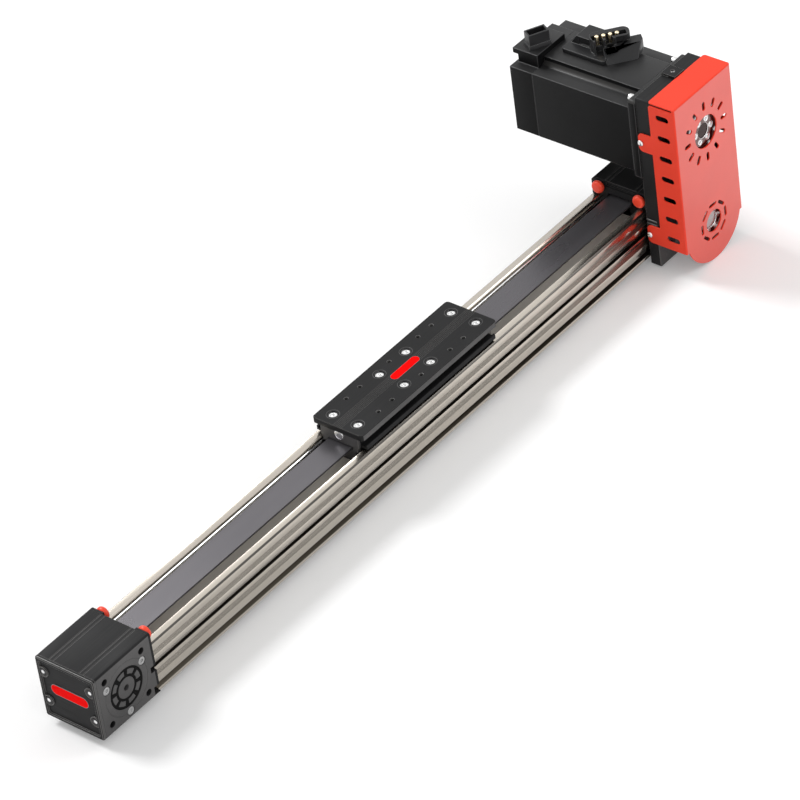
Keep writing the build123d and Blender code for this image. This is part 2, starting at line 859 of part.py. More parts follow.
with BuildPart() as cap_screws:
    for end in (-1, 1):
        for side in (-1, 1):
            seat = side_face(end * shaft_x, side * (side_y - small_screw_head_height), shaft_z)
            head_height = small_screw_head_height - hub_recess
            discs(seat, cap_screw_places, cap_screw_head, -side * head_height)
            discs(seat, cap_screw_places, small_screw_shank, side * small_screw_depth)
            top = side_face(end * shaft_x, side * (side_y - hub_recess), shaft_z)
            hex_sockets(top, cap_screw_places, cap_screw_head, -side * head_height / 2)
save(cap_screws, "cap_screws")

# Domed rubber bumpers, with studs through the face plates
with BuildPart() as bumpers:
    for end in (-1, 1):
        face = section_at(end * profile_end)
        discs(face, stop_places, bumper_diameter, -end * bumper_length)
        discs(face, stop_places, stud_diameter, end * stud_length)
    across = bumpers.faces().filter_by(Plane.YZ)
    tips = across.sort_by(lambda tip: abs(tip.center().X))[:4]
    fillet(tips.edges(), bumper_dome)
save(bumpers, "bumpers")

with BuildPart() as idler_shaft:
    discs(side_face(-shaft_x, hub_disc_y, shaft_z), [(0, 0)], shaft_diameter, 2 * hub_disc_y)
save(idler_shaft, "idler_shaft")

# Drive shaft, stepped down outside the adapter plate for the reduction
with BuildPart() as drive_shaft:
    step_y = adapter_y - shaft_step_gap
    discs(side_face(shaft_x, hub_disc_y, shaft_z), [(0, 0)], shaft_diameter, hub_disc_y - step_y)
    discs(side_face(shaft_x, step_y, shaft_z), [(0, 0)], drive_shaft_diameter, step_y - shaft_end_y)
save(drive_shaft, "drive_shaft")


def make_belt(y, first, second, inner, thickness, width, name):
    # Flat belt round two equal pulleys, given by their centres.
    along = Vector(*second) - Vector(*first)
    middle = (Vector(*first) + Vector(*second)) * 0.5
    place = Location((middle.X, middle.Y, 0), (0, 0, degrees(atan2(along.Y, along.X))))
    outer = inner + thickness
    with BuildPart() as belt:
        with BuildSketch(side_face(0, y, 0)):
            with Locations(place):
                SlotOverall(along.length + 2 * outer, 2 * outer)
                SlotOverall(along.length + 2 * inner, 2 * inner, mode=Mode.SUBTRACT)
        extrude(amount=width)
    save(belt, name)


# Main belt: upper run in the channel, return run inside the profile
make_belt(
    belt_width / 2,
    (-shaft_x, shaft_z),
    (shaft_x, shaft_z),
    belt_inner,
    belt_thickness,
    belt_width,
    "main_belt",
)

with BuildPart() as carriage_plate:
    with BuildSketch(Plane.XY.offset(plate_under_z)):
        with Locations((carriage_rest_x, 0)):
            RectangleRounded(carriage_length, carriage_width, plate_corner)
    extrude(amount=plate_thickness)
    chamfer(carriage_plate.faces().sort_by(Axis.Z)[-1].edges(), plate_edge)
    top = Plane.XY.offset(plate_top_z)
    discs(top, plate_screw_places, plate_screw_head + 2 * screw_clearance, -screw_sink, Mode.SUBTRACT)
    discs(top, plate_screw_places, small_screw_shank + 2 * press_clearance, -plate_thickness, Mode.SUBTRACT)
    discs(top, tapped_places, tapped_diameter, -plate_thickness, Mode.SUBTRACT)
    # Fine grooves along the middle, and a shallow seat for the label
    with BuildSketch(section_at(carriage_rest_x - carriage_length / 2)):
        with Locations((0, plate_top_z)):
            with GridLocations(strip_pitch, 1, strip_grooves, 1):
                Rectangle(strip_groove, strip_groove, rotation=45)
    extrude(amount=carriage_length, mode=Mode.SUBTRACT)
    with BuildSketch(top):
        with Locations((carriage_rest_x, 0)):
            SlotOverall(carriage_label_length + label_gap, carriage_label_width + label_gap)
    extrude(amount=-label_thickness, mode=Mode.SUBTRACT)
save(carriage_plate, "carriage_plate")


def carriage_section():
    # Section that the carriage body and its end plates share.
    with Locations((0, (body_lip_z + plate_under_z) / 2)):
        Rectangle(body_width, body_height)
    with Locations((0, (body_bottom_z + body_lip_z) / 2)):
        Rectangle(channel_width - 2 * neck_gap, body_lip_z - body_bottom_z)
    # Pockets for the shoes, and the slot that the belt runs through
    pocket_width = channel_width / 2 - neck_gap - shoe_back
    for side in (-1, 1):
        with Locations((side * (shoe_back + pocket_width / 2), rod_z)):
            Rectangle(pocket_width, shoe_height + 2 * shoe_pocket_gap, mode=Mode.SUBTRACT)
    with Locations((0, (belt_slot_low + belt_slot_high) / 2)):
        Rectangle(belt_width + 2 * belt_slot_clearance, belt_slot_high - belt_slot_low, mode=Mode.SUBTRACT)


with BuildPart() as carriage_body:
    body_start = section_at(carriage_rest_x - body_length / 2)
    with BuildSketch(body_start):
        carriage_section()
        # Side lips with upturned hooks, which make a slot under the plate
        with Locations((0, body_lip_z + lip_height / 2)):
            Rectangle(carriage_width, lip_height)
        hook_y = (carriage_width - hook_width) / 2
        hook_z = body_lip_z + lip_height + hook_height / 2
        with Locations((-hook_y, hook_z), (hook_y, hook_z)):
            Rectangle(hook_width, hook_height)
    extrude(amount=body_length)
    hole = small_screw_shank + 2 * press_clearance
    hole_depth = small_screw_depth + screw_sink - plate_thickness
    discs(Plane.XY.offset(plate_under_z), plate_screw_places, hole, -hole_depth, Mode.SUBTRACT)
    discs(body_start, [(0, plate_under_z - end_plate_screw_drop)], hole, body_length, Mode.SUBTRACT)
    with BuildSketch(Plane.XY.offset(belt_slot_low)):
        with Locations(*clamp_places):
            Rectangle(clamp_length + 2 * press_clearance, belt_width + 2 * press_clearance)
    extrude(amount=-clamp_thickness, mode=Mode.SUBTRACT)
save(carriage_body, "carriage_body")

with BuildPart() as carriage_end_plates:
    for end in (-1, 1):
        with BuildSketch(section_at(carriage_rest_x + end * body_length / 2)):
            carriage_section()
            with Locations((0, plate_under_z - end_plate_screw_drop)):
                Circle(end_screw_head / 2 + screw_clearance, mode=Mode.SUBTRACT)
        extrude(amount=end * end_plate_thickness)
save(carriage_end_plates, "carriage_end_plates")

with BuildPart() as carriage_end_screws:
    for end in (-1, 1):
        socket_screws(
            end_face(end, carriage_rest_x + end * body_length / 2),
            [(0, plate_under_z - end_plate_screw_drop)],
            end_screw_head,
            end_plate_thickness,
            small_screw_shank,
            small_screw_depth,
        )
save(carriage_end_screws, "carriage_end_screws")

with BuildPart() as carriage_screws:
    socket_screws(
        Plane.XY.offset(plate_top_z - screw_sink),
        plate_screw_places,
        plate_screw_head,
        small_screw_head_height,
        small_screw_shank,
        small_screw_depth,
    )
save(carriage_screws, "carriage_screws")

with BuildPart() as guide_shoes:
    for end in (-1, 1):
        with BuildSketch(section_at(carriage_rest_x + end * shoe_x - shoe_length / 2)):
            for side in (-1, 1):
                with Locations((side * (shoe_back + shoe_reach) / 2, rod_z)):
                    Rectangle(shoe_thickness, shoe_height)
                with Locations((side * rod_y, rod_z)):
                    Circle(rod_diameter / 2 + shoe_play, mode=Mode.SUBTRACT)
        extrude(amount=shoe_length)
save(guide_shoes, "guide_shoes")

with BuildPart() as belt_clamps:
    with BuildSketch(Plane.XY.offset(belt_slot_low)):
        with Locations(*clamp_places):
            Rectangle(clamp_length, belt_width)
    extrude(amount=-clamp_thickness)
save(belt_clamps, "belt_clamps")

with BuildPart() as carriage_label:
    with BuildSketch(Plane.XY.offset(plate_top_z)):
        with Locations((carriage_rest_x, 0)):
            SlotOverall(carriage_label_length, carriage_label_width)
    extrude(amount=-label_thickness)
save(carriage_label, "carriage_label")

with BuildPart() as end_label:
    with BuildSketch(section_at(-housing_end - end_cap_thickness + end_cap_recess)):
        with Locations((0, end_screw_centre_z)):
            SlotOverall(end_label_length, end_label_width)
    extrude(amount=-label_thickness)
save(end_label, "end_label")

# Adapter plate: it bolts to the drive housing and carries the motor beside it
with BuildPart() as adapter_plate:
    back = side_face(shaft_x, -side_y, 0)
    with BuildSketch(back):
        with Locations((0, (adapter_bottom_z + adapter_top_z) / 2)):
            RectangleRounded(adapter_width, adapter_top_z - adapter_bottom_z, adapter_corner)
    extrude(amount=adapter_thickness)
    # Thinner foot below, and two ridges on each side above it
    with BuildSketch(side_face(shaft_x, foot_y, 0)):
        with Locations((0, adapter_bottom_z)):
            Rectangle(adapter_width, 2 * (adapter_foot_top - adapter_bottom_z))
    extrude(amount=adapter_thickness - adapter_foot_thickness, mode=Mode.SUBTRACT)
    with BuildSketch(back):
        for side in (-1, 1):
            for ridge_z in ridge_heights:
                with Locations((side * adapter_width / 2, ridge_z)):
                    Rectangle(2 * ridge_height, ridge_width)
    extrude(amount=adapter_foot_thickness)
    discs(back, [(0, shaft_z)], adapter_bore, adapter_thickness, Mode.SUBTRACT)
    discs(back, [(0, motor_z)], pilot_diameter + 2 * screw_clearance, adapter_thickness, Mode.SUBTRACT)
    screw_hole = adapter_screw_shank + 2 * screw_clearance
    discs(back, adapter_screw_places, screw_hole, adapter_thickness, Mode.SUBTRACT)
    head_hole = adapter_screw_head + 2 * screw_clearance
    head_seat = side_face(shaft_x, adapter_seat_y, 0)
    discs(head_seat, adapter_screw_places, head_hole, adapter_thickness, Mode.SUBTRACT)
    motor_hole = small_screw_shank + 2 * press_clearance
    discs(back, motor_screw_places, motor_hole, motor_screw_depth - motor_flange_thickness, Mode.SUBTRACT)
    cover_hole = cover_screw_shank + 2 * press_clearance
    for side in (-1, 1):
        edge = end_face(side, shaft_x + side * adapter_width / 2)
        places = [(-side * (side_y + cover_screw_edge), z) for z in tab_heights]
        discs(edge, places, cover_hole, -cover_screw_depth, Mode.SUBTRACT)
    tension_place = (shaft_x + tension_block_offset, -side_y - adapter_thickness / 2)
    screw_hole = tension_screw_diameter + 2 * press_clearance
    discs(Plane.XY.offset(adapter_top_z), [tension_place], screw_hole, -tension_screw_depth, Mode.SUBTRACT)
save(adapter_plate, "adapter_plate")

with BuildPart() as adapter_screws:
    socket_screws(
        head_seat,
        adapter_screw_places,
        adapter_screw_head,
        adapter_screw_head_height,
        adapter_screw_shank,
        adapter_screw_depth - adapter_seat_y - side_y,
    )
save(adapter_screws, "adapter_screws")

# Belt tensioner on the adapter plate's top edge
with BuildPart() as tension_block:
    top = Plane.XY.offset(adapter_top_z)
    with BuildSketch(top):
        with Locations(tension_place):
            Rectangle(tension_block_length, adapter_thickness - 2 * screw_clearance)
    extrude(amount=tension_block_height)
    discs(top, [tension_place], screw_hole, tension_block_height, Mode.SUBTRACT)
    # Slot in the side that looks along the module
    slot_y = -side_y - screw_clearance - tension_slot_edge - tension_slot_length / 2
    with BuildSketch(section_at(tension_place[0] - tension_block_length / 2)):
        with Locations((slot_y, adapter_top_z + tension_block_height / 2)):
            Rectangle(tension_slot_length, tension_slot_height)
    extrude(amount=tension_slot_depth, mode=Mode.SUBTRACT)
save(tension_block, "tension_block")

with BuildPart() as tension_screw:
    screw_top = Plane.XY.offset(adapter_top_z + tension_block_height - tension_screw_sink)
    length = tension_screw_depth + tension_block_height - tension_screw_sink
    discs(screw_top, [tension_place], tension_screw_diameter, -length)
    hex_sockets(screw_top, [tension_place], tension_screw_diameter, tension_screw_diameter / 2)
save(tension_screw, "tension_screw")

make_belt(
    drive_pulley_y - flange_thickness - pulley_side_gap,
    (shaft_x, shaft_z),
    (shaft_x, motor_z),
    drive_belt_inner,
    drive_belt_thickness,
    drive_belt_width,
    "reduction_belt",
)


def make_clamp_ring(z, name):
    # Ring with a circle of screws, which clamps a pulley to its shaft.
    with BuildPart() as ring:
        front = side_face(shaft_x, clamp_face_y, z)
        with BuildSketch(front):
            Circle(clamp_ring_diameter / 2)
            Circle(drive_shaft_diameter / 2 + press_clearance, mode=Mode.SUBTRACT)
        extrude(amount=-clamp_ring_length)
        head_hole = clamp_screw_head + 2 * screw_clearance
        discs(front, clamp_screw_places, head_hole, -small_screw_head_height, Mode.SUBTRACT)
        shank_hole = clamp_screw_shank + 2 * press_clearance
        discs(front, clamp_screw_places, shank_hole, -clamp_ring_length, Mode.SUBTRACT)
    save(ring, name)


def make_clamp_screws(z, name):
    # The six screws of a clamp ring.
    with BuildPart() as screws:
        seat = side_face(shaft_x, clamp_face_y + small_screw_head_height, z)
        socket_screws(
            seat,
            clamp_screw_places,
            clamp_screw_head,
            small_screw_head_height,
            clamp_screw_shank,
            clamp_screw_depth,
        )
    save(screws, name)


for name, z in (("driven", shaft_z), ("motor", motor_z)):
    make_pulley(
        shaft_x,
        drive_pulley_y,
        z,
        drive_pulley_teeth,
        drive_tip_radius,
        drive_pulley_width,
        drive_belt_outer + drive_flange_height,
        drive_shaft_diameter,
        f"{name}_reduction_pulley",
        clamped=True,
    )
    make_clamp_ring(z, f"{name}_clamp_ring")
    make_clamp_screws(z, f"{name}_clamp_screws")


def cover_block(inset):
    # Block with rounded front edges, smaller than the cover by the inset.
    width = cover_width - 2 * inset
    low = cover_side_bottom_z - inset
    high = cover_top_z - inset
    with BuildPart() as block:
        with BuildSketch(side_face(shaft_x, adapter_y, 0)):
            with Locations((0, (low + high) / 2)):
                Rectangle(width, high - low)
        extrude(amount=cover_depth - inset)
        front_edges = block.faces().sort_by(Axis.Y)[0].edges().sort_by(Axis.Z)[1:]
        fillet(front_edges, cover_bend - inset)
    return block.part


# Folded sheet cover: front, top flange, and side flanges with tabs
with BuildPart() as reducer_cover:
    add(cover_block(0))
    add(cover_block(sheet), mode=Mode.SUBTRACT)
    front = side_face(shaft_x, cover_front_y, 0)
    # Rounded lower end of the front
    with BuildSketch(front):
        with Locations((0, shaft_z)):
            Circle(cover_bottom_radius)
        with Locations((0, cover_side_bottom_z + cover_bottom_radius)):
            Rectangle(2 * cover_bottom_radius, 2 * cover_bottom_radius, mode=Mode.SUBTRACT)
    extrude(amount=-sheet)
    # Slits that part the side flanges from the top flange
    slit_length = cover_depth - cover_slit_end
    for side in (-1, 1):
        with BuildSketch(end_face(side, shaft_x + side * cover_width / 2)):
            with Locations((side * adapter_y, cover_top_z - sheet - cover_slit / 2)):
                SlotOverall(2 * slit_length, cover_slit)
        extrude(amount=-sheet, mode=Mode.SUBTRACT)
    # Rounded free corners beside the slits
    free_edges = reducer_cover.edges().group_by(Axis.Y)[-1].filter_by(lambda edge: edge.length < 2 * sheet)
    fillet(free_edges.filter_by(lambda edge: edge.center().Z > motor_z), cover_corner)
    for side in (-1, 1):
        # Tabs that reach over the adapter plate's edges
        with BuildSketch(end_face(side, shaft_x + side * cover_width / 2)):
            for tab_z in tab_heights:
                with Locations((side * (adapter_y + tab_reach / 2 - tab_corner / 2), tab_z)):
                    RectangleRounded(tab_reach + tab_corner, tab_width, tab_corner)
        extrude(amount=-sheet)
        with BuildSketch(end_face(side, shaft_x + side * cover_width / 2)):
            for tab_z in tab_heights:
                with Locations((-side * (side_y + cover_screw_edge), tab_z)):
                    Circle(cover_screw_shank / 2 + screw_clearance / 2)
            vents_middle = side_vent_first_z + (side_vent_count - 1) * side_vent_pitch / 2
            with Locations((side * (adapter_y - cover_depth / 2), vents_middle)):
                with GridLocations(1, side_vent_pitch, 1, side_vent_count):
                    SlotOverall(side_vent_length, side_vent_width)
        extrude(amount=-sheet, mode=Mode.SUBTRACT)
    # Window and rays over the motor pulley, window and slots round the other
    with BuildSketch(front):
        with Locations((0, motor_z)):
            Circle(window_diameter / 2)
            with PolarLocations((ray_inner_diameter + ray_outer_diameter) / 4, ray_count):
                SlotOverall((ray_outer_diameter - ray_inner_diameter) / 2, ray_width)
        with Locations((0, shaft_z)):
            Circle(lower_window_diameter / 2)
            with PolarLocations(ring_slot_circle / 2, ring_slot_count):
                SlotOverall(ring_slot_length, ring_slot_width, rotation=90)
    extrude(amount=-sheet, mode=Mode.SUBTRACT)
save(reducer_cover, "reducer_cover")

with BuildPart() as cover_screws:
    for side in (-1, 1):
        tab_face = end_face(side, shaft_x + side * cover_width / 2)
        places = [(-side * (side_y + cover_screw_edge), z) for z in tab_heights]
        discs(tab_face, places, cover_screw_head, cover_screw_head_height)
        discs(tab_face, places, cover_screw_shank, -(cover_screw_depth + sheet + cover_side_gap))
        top = tab_face.offset(cover_screw_head_height)
        hex_sockets(top, places, cover_screw_head, cover_screw_head_height / 2)
save(cover_screws, "cover_screws")


def motor_outline():
    # Motor section: a square with a scallop along each corner.
    Rectangle(motor_size, motor_size)
    with GridLocations(motor_size, motor_size, 2, 2):
        RectangleRounded(2 * scallop_width, 2 * scallop_height, scallop_radius, mode=Mode.SUBTRACT)


with BuildPart() as motor_flange:
    front = side_face(shaft_x, -side_y, motor_z)
    with BuildSketch(front):
        RectangleRounded(motor_size, motor_size, motor_flange_corner)
    extrude(amount=-motor_flange_thickness)
    discs(front, [(0, 0)], pilot_diameter, pilot_height)
    pilot_face = front.offset(pilot_height)
    shaft_bore = drive_shaft_diameter + 2 * running_clearance
    discs(pilot_face, [(0, 0)], shaft_bore, -pilot_height - motor_flange_thickness, Mode.SUBTRACT)
    flange_hole = small_screw_shank + 2 * press_clearance
    flange_front = side_face(shaft_x, -side_y, 0)
    discs(flange_front, motor_screw_places, flange_hole, -motor_flange_thickness, Mode.SUBTRACT)
save(motor_flange, "motor_flange")

with BuildPart() as motor_body:
    with BuildSketch(side_face(shaft_x, motor_body_y, motor_z)):
        motor_outline()
    extrude(amount=-motor_body_length)
save(motor_body, "motor_body")

# Rear cover with a lid, and a ledge for the signal socket
with BuildPart() as motor_rear_cover:
    with BuildSketch(side_face(shaft_x, motor_rear_y, motor_z)):
        motor_outline()
    extrude(amount=-motor_rear_length)
    with BuildSketch(side_face(shaft_x, motor_rear_y + motor_rear_length, motor_z)):
        Rectangle(motor_size - 2 * motor_lid_inset, motor_size - 2 * scallop_height - 2 * motor_lid_inset)
    extrude(amount=-motor_lid_thickness)
    ledge_x = (ledge_left + ledge_right) / 2
    ledge_low = motor_size / 2 - scallop_height - ledge_thickness
    ledge_top = motor_size / 2 + ledge_thickness
    with BuildSketch(side_face(shaft_x, motor_rear_y, motor_z)):
        with Locations((ledge_x, (ledge_low + ledge_top) / 2)):
            Rectangle(ledge_right - ledge_left, ledge_top - ledge_low)
    extrude(amount=-motor_rear_length + motor_lid_thickness)
    with BuildSketch(Plane.XY.offset(motor_top_z)):
        with Locations((shaft_x + ledge_x, motor_rear_y + (motor_rear_length + motor_lid_thickness) / 2)):
            Rectangle(ledge_right - ledge_left, motor_rear_length + motor_lid_thickness)
    extrude(amount=ledge_thickness)
save(motor_rear_cover, "motor_rear_cover")

# Signal socket: an open box on the ledge, wider at its foot
with BuildPart() as signal_socket:
    ledge_z = motor_top_z + ledge_thickness
    seat = turned_plane(signal_socket_x, motor_rear_y + signal_socket_back, ledge_z, signal_socket_turn)
    foot_length = signal_socket_length + 2 * signal_foot_margin
    foot_width = signal_socket_width + 2 * signal_foot_margin
    with BuildSketch(seat):
        Rectangle(foot_length, foot_width)
    extrude(amount=signal_foot_height, taper=signal_foot_taper)
    with BuildSketch(seat):
        Rectangle(signal_socket_length, signal_socket_width)
    extrude(amount=signal_socket_height)
    with BuildSketch(seat.offset(signal_socket_height)):
        Rectangle(
            signal_socket_length - 2 * signal_socket_wall, signal_socket_width - 2 * signal_socket_wall
        )
    extrude(amount=-signal_socket_depth, mode=Mode.SUBTRACT)
save(signal_socket, "signal_socket")

# Power connector: foot, hump behind, nose in front and a turned block with an open trough
with BuildPart() as power_connector:
    motor_top = Plane(origin=(shaft_x, -side_y, motor_top_z), x_dir=(1, 0, 0), z_dir=(0, 0, 1))
    row = turned_plane(connector_x, connector_start - side_y, motor_top_z, connector_turn)
    with BuildSketch(motor_top):
        foot_x = (connector_foot_left + connector_foot_right) / 2
        with Locations((foot_x, (connector_foot_front + connector_foot_back) / 2)):
            foot_width = connector_foot_right - connector_foot_left
            foot_length = connector_foot_back - connector_foot_front
            RectangleRounded(foot_width, foot_length, connector_foot_corner)
    extrude(amount=connector_foot_height)
    # Hump with a sloping rear end and a sunk panel in its side
    hump_side = section_at(shaft_x + connector_hump_left)
    hump_front_y = connector_hump_front - side_y
    hump_end_y = connector_foot_back - connector_foot_corner - side_y
    with BuildSketch(hump_side):
        Polygon(
            (hump_front_y, motor_top_z),
            (hump_end_y, motor_top_z),
            (hump_end_y, motor_top_z + connector_foot_height),
            (connector_hump_back - side_y, motor_top_z + connector_hump_height),
            (hump_front_y, motor_top_z + connector_hump_height),
            align=None,
        )
    extrude(amount=connector_hump_width)
    with BuildSketch(hump_side):
        panel_z = motor_top_z + (connector_foot_height + connector_hump_height) / 2
        with Locations((connector_panel_middle - side_y, panel_z)):
            Rectangle(connector_panel_length, connector_panel_height)
    extrude(amount=connector_panel_depth, mode=Mode.SUBTRACT)
    # Nose: its slope rises from the motor's top to the block
    nose_start = row.from_local_coords((connector_nose_start, 0, 0))
    with BuildSketch(Plane(origin=nose_start, x_dir=row.y_dir, z_dir=row.x_dir)):
        Polygon(
            (-connector_nose_foot, 0),
            (-connector_nose_top, connector_nose_height),
            (connector_block_width / 2, connector_nose_height),
            (connector_block_width / 2, 0),
            align=None,
        )
    extrude(amount=connector_nose_end - connector_nose_start)
    with BuildSketch(row):
        Polygon(
            (connector_nose_end - connector_nose_skew, -connector_nose_foot),
            (connector_nose_end, -connector_nose_foot),
            (connector_nose_end, 0),
            align=None,
        )
    extrude(amount=connector_nose_height, mode=Mode.SUBTRACT)
    # Block, ribs on its front, and the hollows between them
    with BuildSketch(row):
        with Locations((connector_block_shift, connector_block_width / 2)):
            RectangleRounded(connector_block_length, connector_block_width, connector_block_corner)
        with GridLocations(connector_rib_pitch, 1, connector_ribs, 1):
            Rectangle(connector_rib_width, 2 * connector_rib_reach)
    extrude(amount=connector_block_height)
    with BuildSketch(row.offset(connector_foot_height)):
        with GridLocations(connector_rib_pitch, 1, connector_ribs - 1, 1):
            Circle((connector_rib_pitch - connector_rib_width) / 2)
    extrude(amount=connector_block_height, mode=Mode.SUBTRACT)
    with BuildSketch(row.offset(connector_nose_height)):
        with Locations((connector_grip_shift, 0)):
            Rectangle(connector_grip_length, 2 * connector_grip_depth)
    extrude(amount=connector_grip_height, mode=Mode.SUBTRACT)
    with BuildSketch(row.offset(connector_block_height)):
        with Locations((trough_shift, trough_middle)):
            Rectangle(trough_length, trough_width)
    extrude(amount=-trough_depth, mode=Mode.SUBTRACT)
save(power_connector, "power_connector")

with BuildPart() as contact_pins:
    with BuildSketch(row.offset(connector_block_height - trough_depth)):
        with Locations((pin_shift, trough_middle)):
            with GridLocations(pin_pitch, 1, pin_count, 1):
                Circle(pin_diameter / 2)
    extrude(amount=trough_depth + pin_rise)
    chamfer(contact_pins.faces().group_by(Axis.Z)[-1].edges(), pin_edge)
save(contact_pins, "contact_pins")

with BuildPart() as motor_screws:
    for x, z in motor_screw_places:
        seat = Plane(origin=(shaft_x + x, motor_body_y, z), x_dir=(1, 0, 0), z_dir=(0, 1, 0))
        socket_screws(
            seat, [(0, 0)], motor_screw_head, motor_screw_head_height, small_screw_shank, motor_screw_depth
        )
save(motor_screws, "motor_screws")

with BuildPart() as motor_shaft:
    shaft_back_y = motor_body_y - belt_gap
    shaft_back = side_face(shaft_x, shaft_back_y, motor_z)
    discs(shaft_back, [(0, 0)], drive_shaft_diameter, shaft_back_y - shaft_end_y)
save(motor_shaft, "motor_shaft")
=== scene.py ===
import json
from math import cos, radians, sin, tau

import bmesh
import bpy
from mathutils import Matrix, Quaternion, Vector


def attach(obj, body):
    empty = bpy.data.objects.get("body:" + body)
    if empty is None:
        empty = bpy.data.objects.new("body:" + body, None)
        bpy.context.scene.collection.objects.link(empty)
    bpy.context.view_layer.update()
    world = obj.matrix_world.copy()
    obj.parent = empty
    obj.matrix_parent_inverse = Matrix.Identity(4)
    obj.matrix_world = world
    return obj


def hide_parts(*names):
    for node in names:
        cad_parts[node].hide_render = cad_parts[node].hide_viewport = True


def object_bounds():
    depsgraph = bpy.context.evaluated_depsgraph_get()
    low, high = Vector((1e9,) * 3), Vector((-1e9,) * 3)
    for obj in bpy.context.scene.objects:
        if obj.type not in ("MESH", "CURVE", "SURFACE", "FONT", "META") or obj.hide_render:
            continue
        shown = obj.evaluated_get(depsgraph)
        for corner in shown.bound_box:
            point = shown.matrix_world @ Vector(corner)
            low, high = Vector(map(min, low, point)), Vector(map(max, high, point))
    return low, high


# Linear module: the carriage and its rods, the belt drive and the servo motor.
# Lengths are in metres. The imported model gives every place; this file gives the finishes,
# the screws, threads and other fine pieces, and the studio.

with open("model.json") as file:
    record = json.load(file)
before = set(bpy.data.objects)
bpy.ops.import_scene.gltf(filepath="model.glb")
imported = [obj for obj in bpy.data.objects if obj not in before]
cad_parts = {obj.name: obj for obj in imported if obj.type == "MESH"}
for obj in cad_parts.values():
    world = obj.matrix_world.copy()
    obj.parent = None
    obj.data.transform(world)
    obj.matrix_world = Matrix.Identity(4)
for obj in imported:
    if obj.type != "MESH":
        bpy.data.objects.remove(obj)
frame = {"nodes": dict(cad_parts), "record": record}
cad_box = [list(corner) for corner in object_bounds()]
parts = frame["nodes"]


# Finishes

# How a noise is drawn out along the three axes
even = (1.0, 1.0, 1.0)
drawn_along = (0.02, 1.0, 1.0)
milled_across = (1.0, 0.05, 1.0)
turned_round = (1.0, 0.02, 0.02)
# The share of a noise, from its dark end, where its spread of shades starts and ends
noise_low = 0.3
noise_high = 0.7


def start_finish(name, colour, roughness, metallic=0.0, specular=0.5):
    # A finish starts as one plain shader; its grain is added to it below.
    material = bpy.data.materials.new(name)
    material.use_nodes = True
    shader = material.node_tree.nodes["Principled BSDF"]
    shader.inputs["Base Color"].default_value = (*colour, 1.0)
    shader.inputs["Roughness"].default_value = roughness
    shader.inputs["Metallic"].default_value = metallic
    shader.inputs["Specular IOR Level"].default_value = specular
    return material


def add_node(material, kind, **inputs):
    node = material.node_tree.nodes.new(kind)
    for name, value in inputs.items():
        node.inputs[name].default_value = value
    return node


def shader_of(material):
    return material.node_tree.nodes["Principled BSDF"]


def scaled(shade, factor):
    return tuple(min(value * factor, 1.0) for value in shade)


def grain(material, scale, stretch=even, detail=4.0):
    # Noise in the piece's own coordinates; a small stretch value draws it out that way.
    link = material.node_tree.links.new
    place = add_node(material, "ShaderNodeTexCoord")
    mapping = add_node(material, "ShaderNodeMapping", Scale=stretch)
    noise = add_node(material, "ShaderNodeTexNoise", Scale=scale, Detail=detail)
    link(place.outputs["Object"], mapping.inputs["Vector"])
    link(mapping.outputs["Vector"], noise.inputs["Vector"])
    return noise.outputs["Fac"]


def tint(material, pattern, low, high):
    # Colour that wanders between two shades with a pattern.
    ramp = add_node(material, "ShaderNodeValToRGB")
    ramp.color_ramp.elements[0].color = (*low, 1.0)
    ramp.color_ramp.elements[1].color = (*high, 1.0)
    ramp.color_ramp.elements[0].position = noise_low
    ramp.color_ramp.elements[1].position = noise_high
    link = material.node_tree.links.new
    link(pattern, ramp.inputs["Fac"])
    link(ramp.outputs["Color"], shader_of(material).inputs["Base Color"])


def sheen_range(material, pattern, low, high):
    # Roughness that wanders between two values with a pattern.
    spread = add_node(material, "ShaderNodeMapRange")
    spread.inputs["From Min"].default_value = noise_low
    spread.inputs["From Max"].default_value = noise_high
    spread.inputs["To Min"].default_value = low
    spread.inputs["To Max"].default_value = high
    link = material.node_tree.links.new
    link(pattern, spread.inputs["Value"])
    link(spread.outputs["Result"], shader_of(material).inputs["Roughness"])


def relief(material, patterns):
    # Fine bumps, each given as (pattern, strength, depth).
    link = material.node_tree.links.new
    normal = None
    for pattern, strength, depth in patterns:
        bump = add_node(material, "ShaderNodeBump", Strength=strength, Distance=depth)
        link(pattern, bump.inputs["Height"])
        if normal:
            link(normal, bump.inputs["Normal"])
        normal = bump.outputs["Normal"]
    link(normal, shader_of(material).inputs["Normal"])


def profile_anodising(name, shade, roughness):
    # Champagne anodising with fine drawing lines along the profile.
    material = start_finish(name, shade, roughness, metallic=1.0)
    drawn = grain(material, 900.0, (0.012, 1.0, 1.0), 6.0)
    cloud = grain(material, 14.0, (0.3, 1.0, 1.0), 3.0)
    tint(material, cloud, scaled(shade, 0.96), scaled(shade, 1.05))
    sheen_range(material, drawn, roughness - 0.03, roughness + 0.05)
    relief(material, [(drawn, 0.12, 0.00002)])
    return material


def black_anodising(name, shade, roughness, stretch, specular):
    # Black anodising over machined or drawn aluminium.
    material = start_finish(name, shade, roughness, specular=specular)
    blasted = grain(material, 3200.0, detail=3.0)
    lines = grain(material, 700.0, stretch, 5.0)
    cloud = grain(material, 18.0, detail=3.0)
    tint(material, cloud, scaled(shade, 0.82), scaled(shade, 1.2))
    sheen_range(material, lines, roughness - 0.07, roughness + 0.08)
    relief(material, [(blasted, 0.18, 0.00005), (lines, 0.12, 0.00003)])
    return material


def ground_rod():
    # Hardened and ground rod: bright, with hardly visible rings.
    material = start_finish("ground_rod", (0.80, 0.80, 0.79), 0.12, metallic=1.0)
    rings = grain(material, 1500.0, turned_round, 3.0)
    sheen_range(material, rings, 0.08, 0.18)
    relief(material, [(rings, 0.1, 0.00001)])
    return material


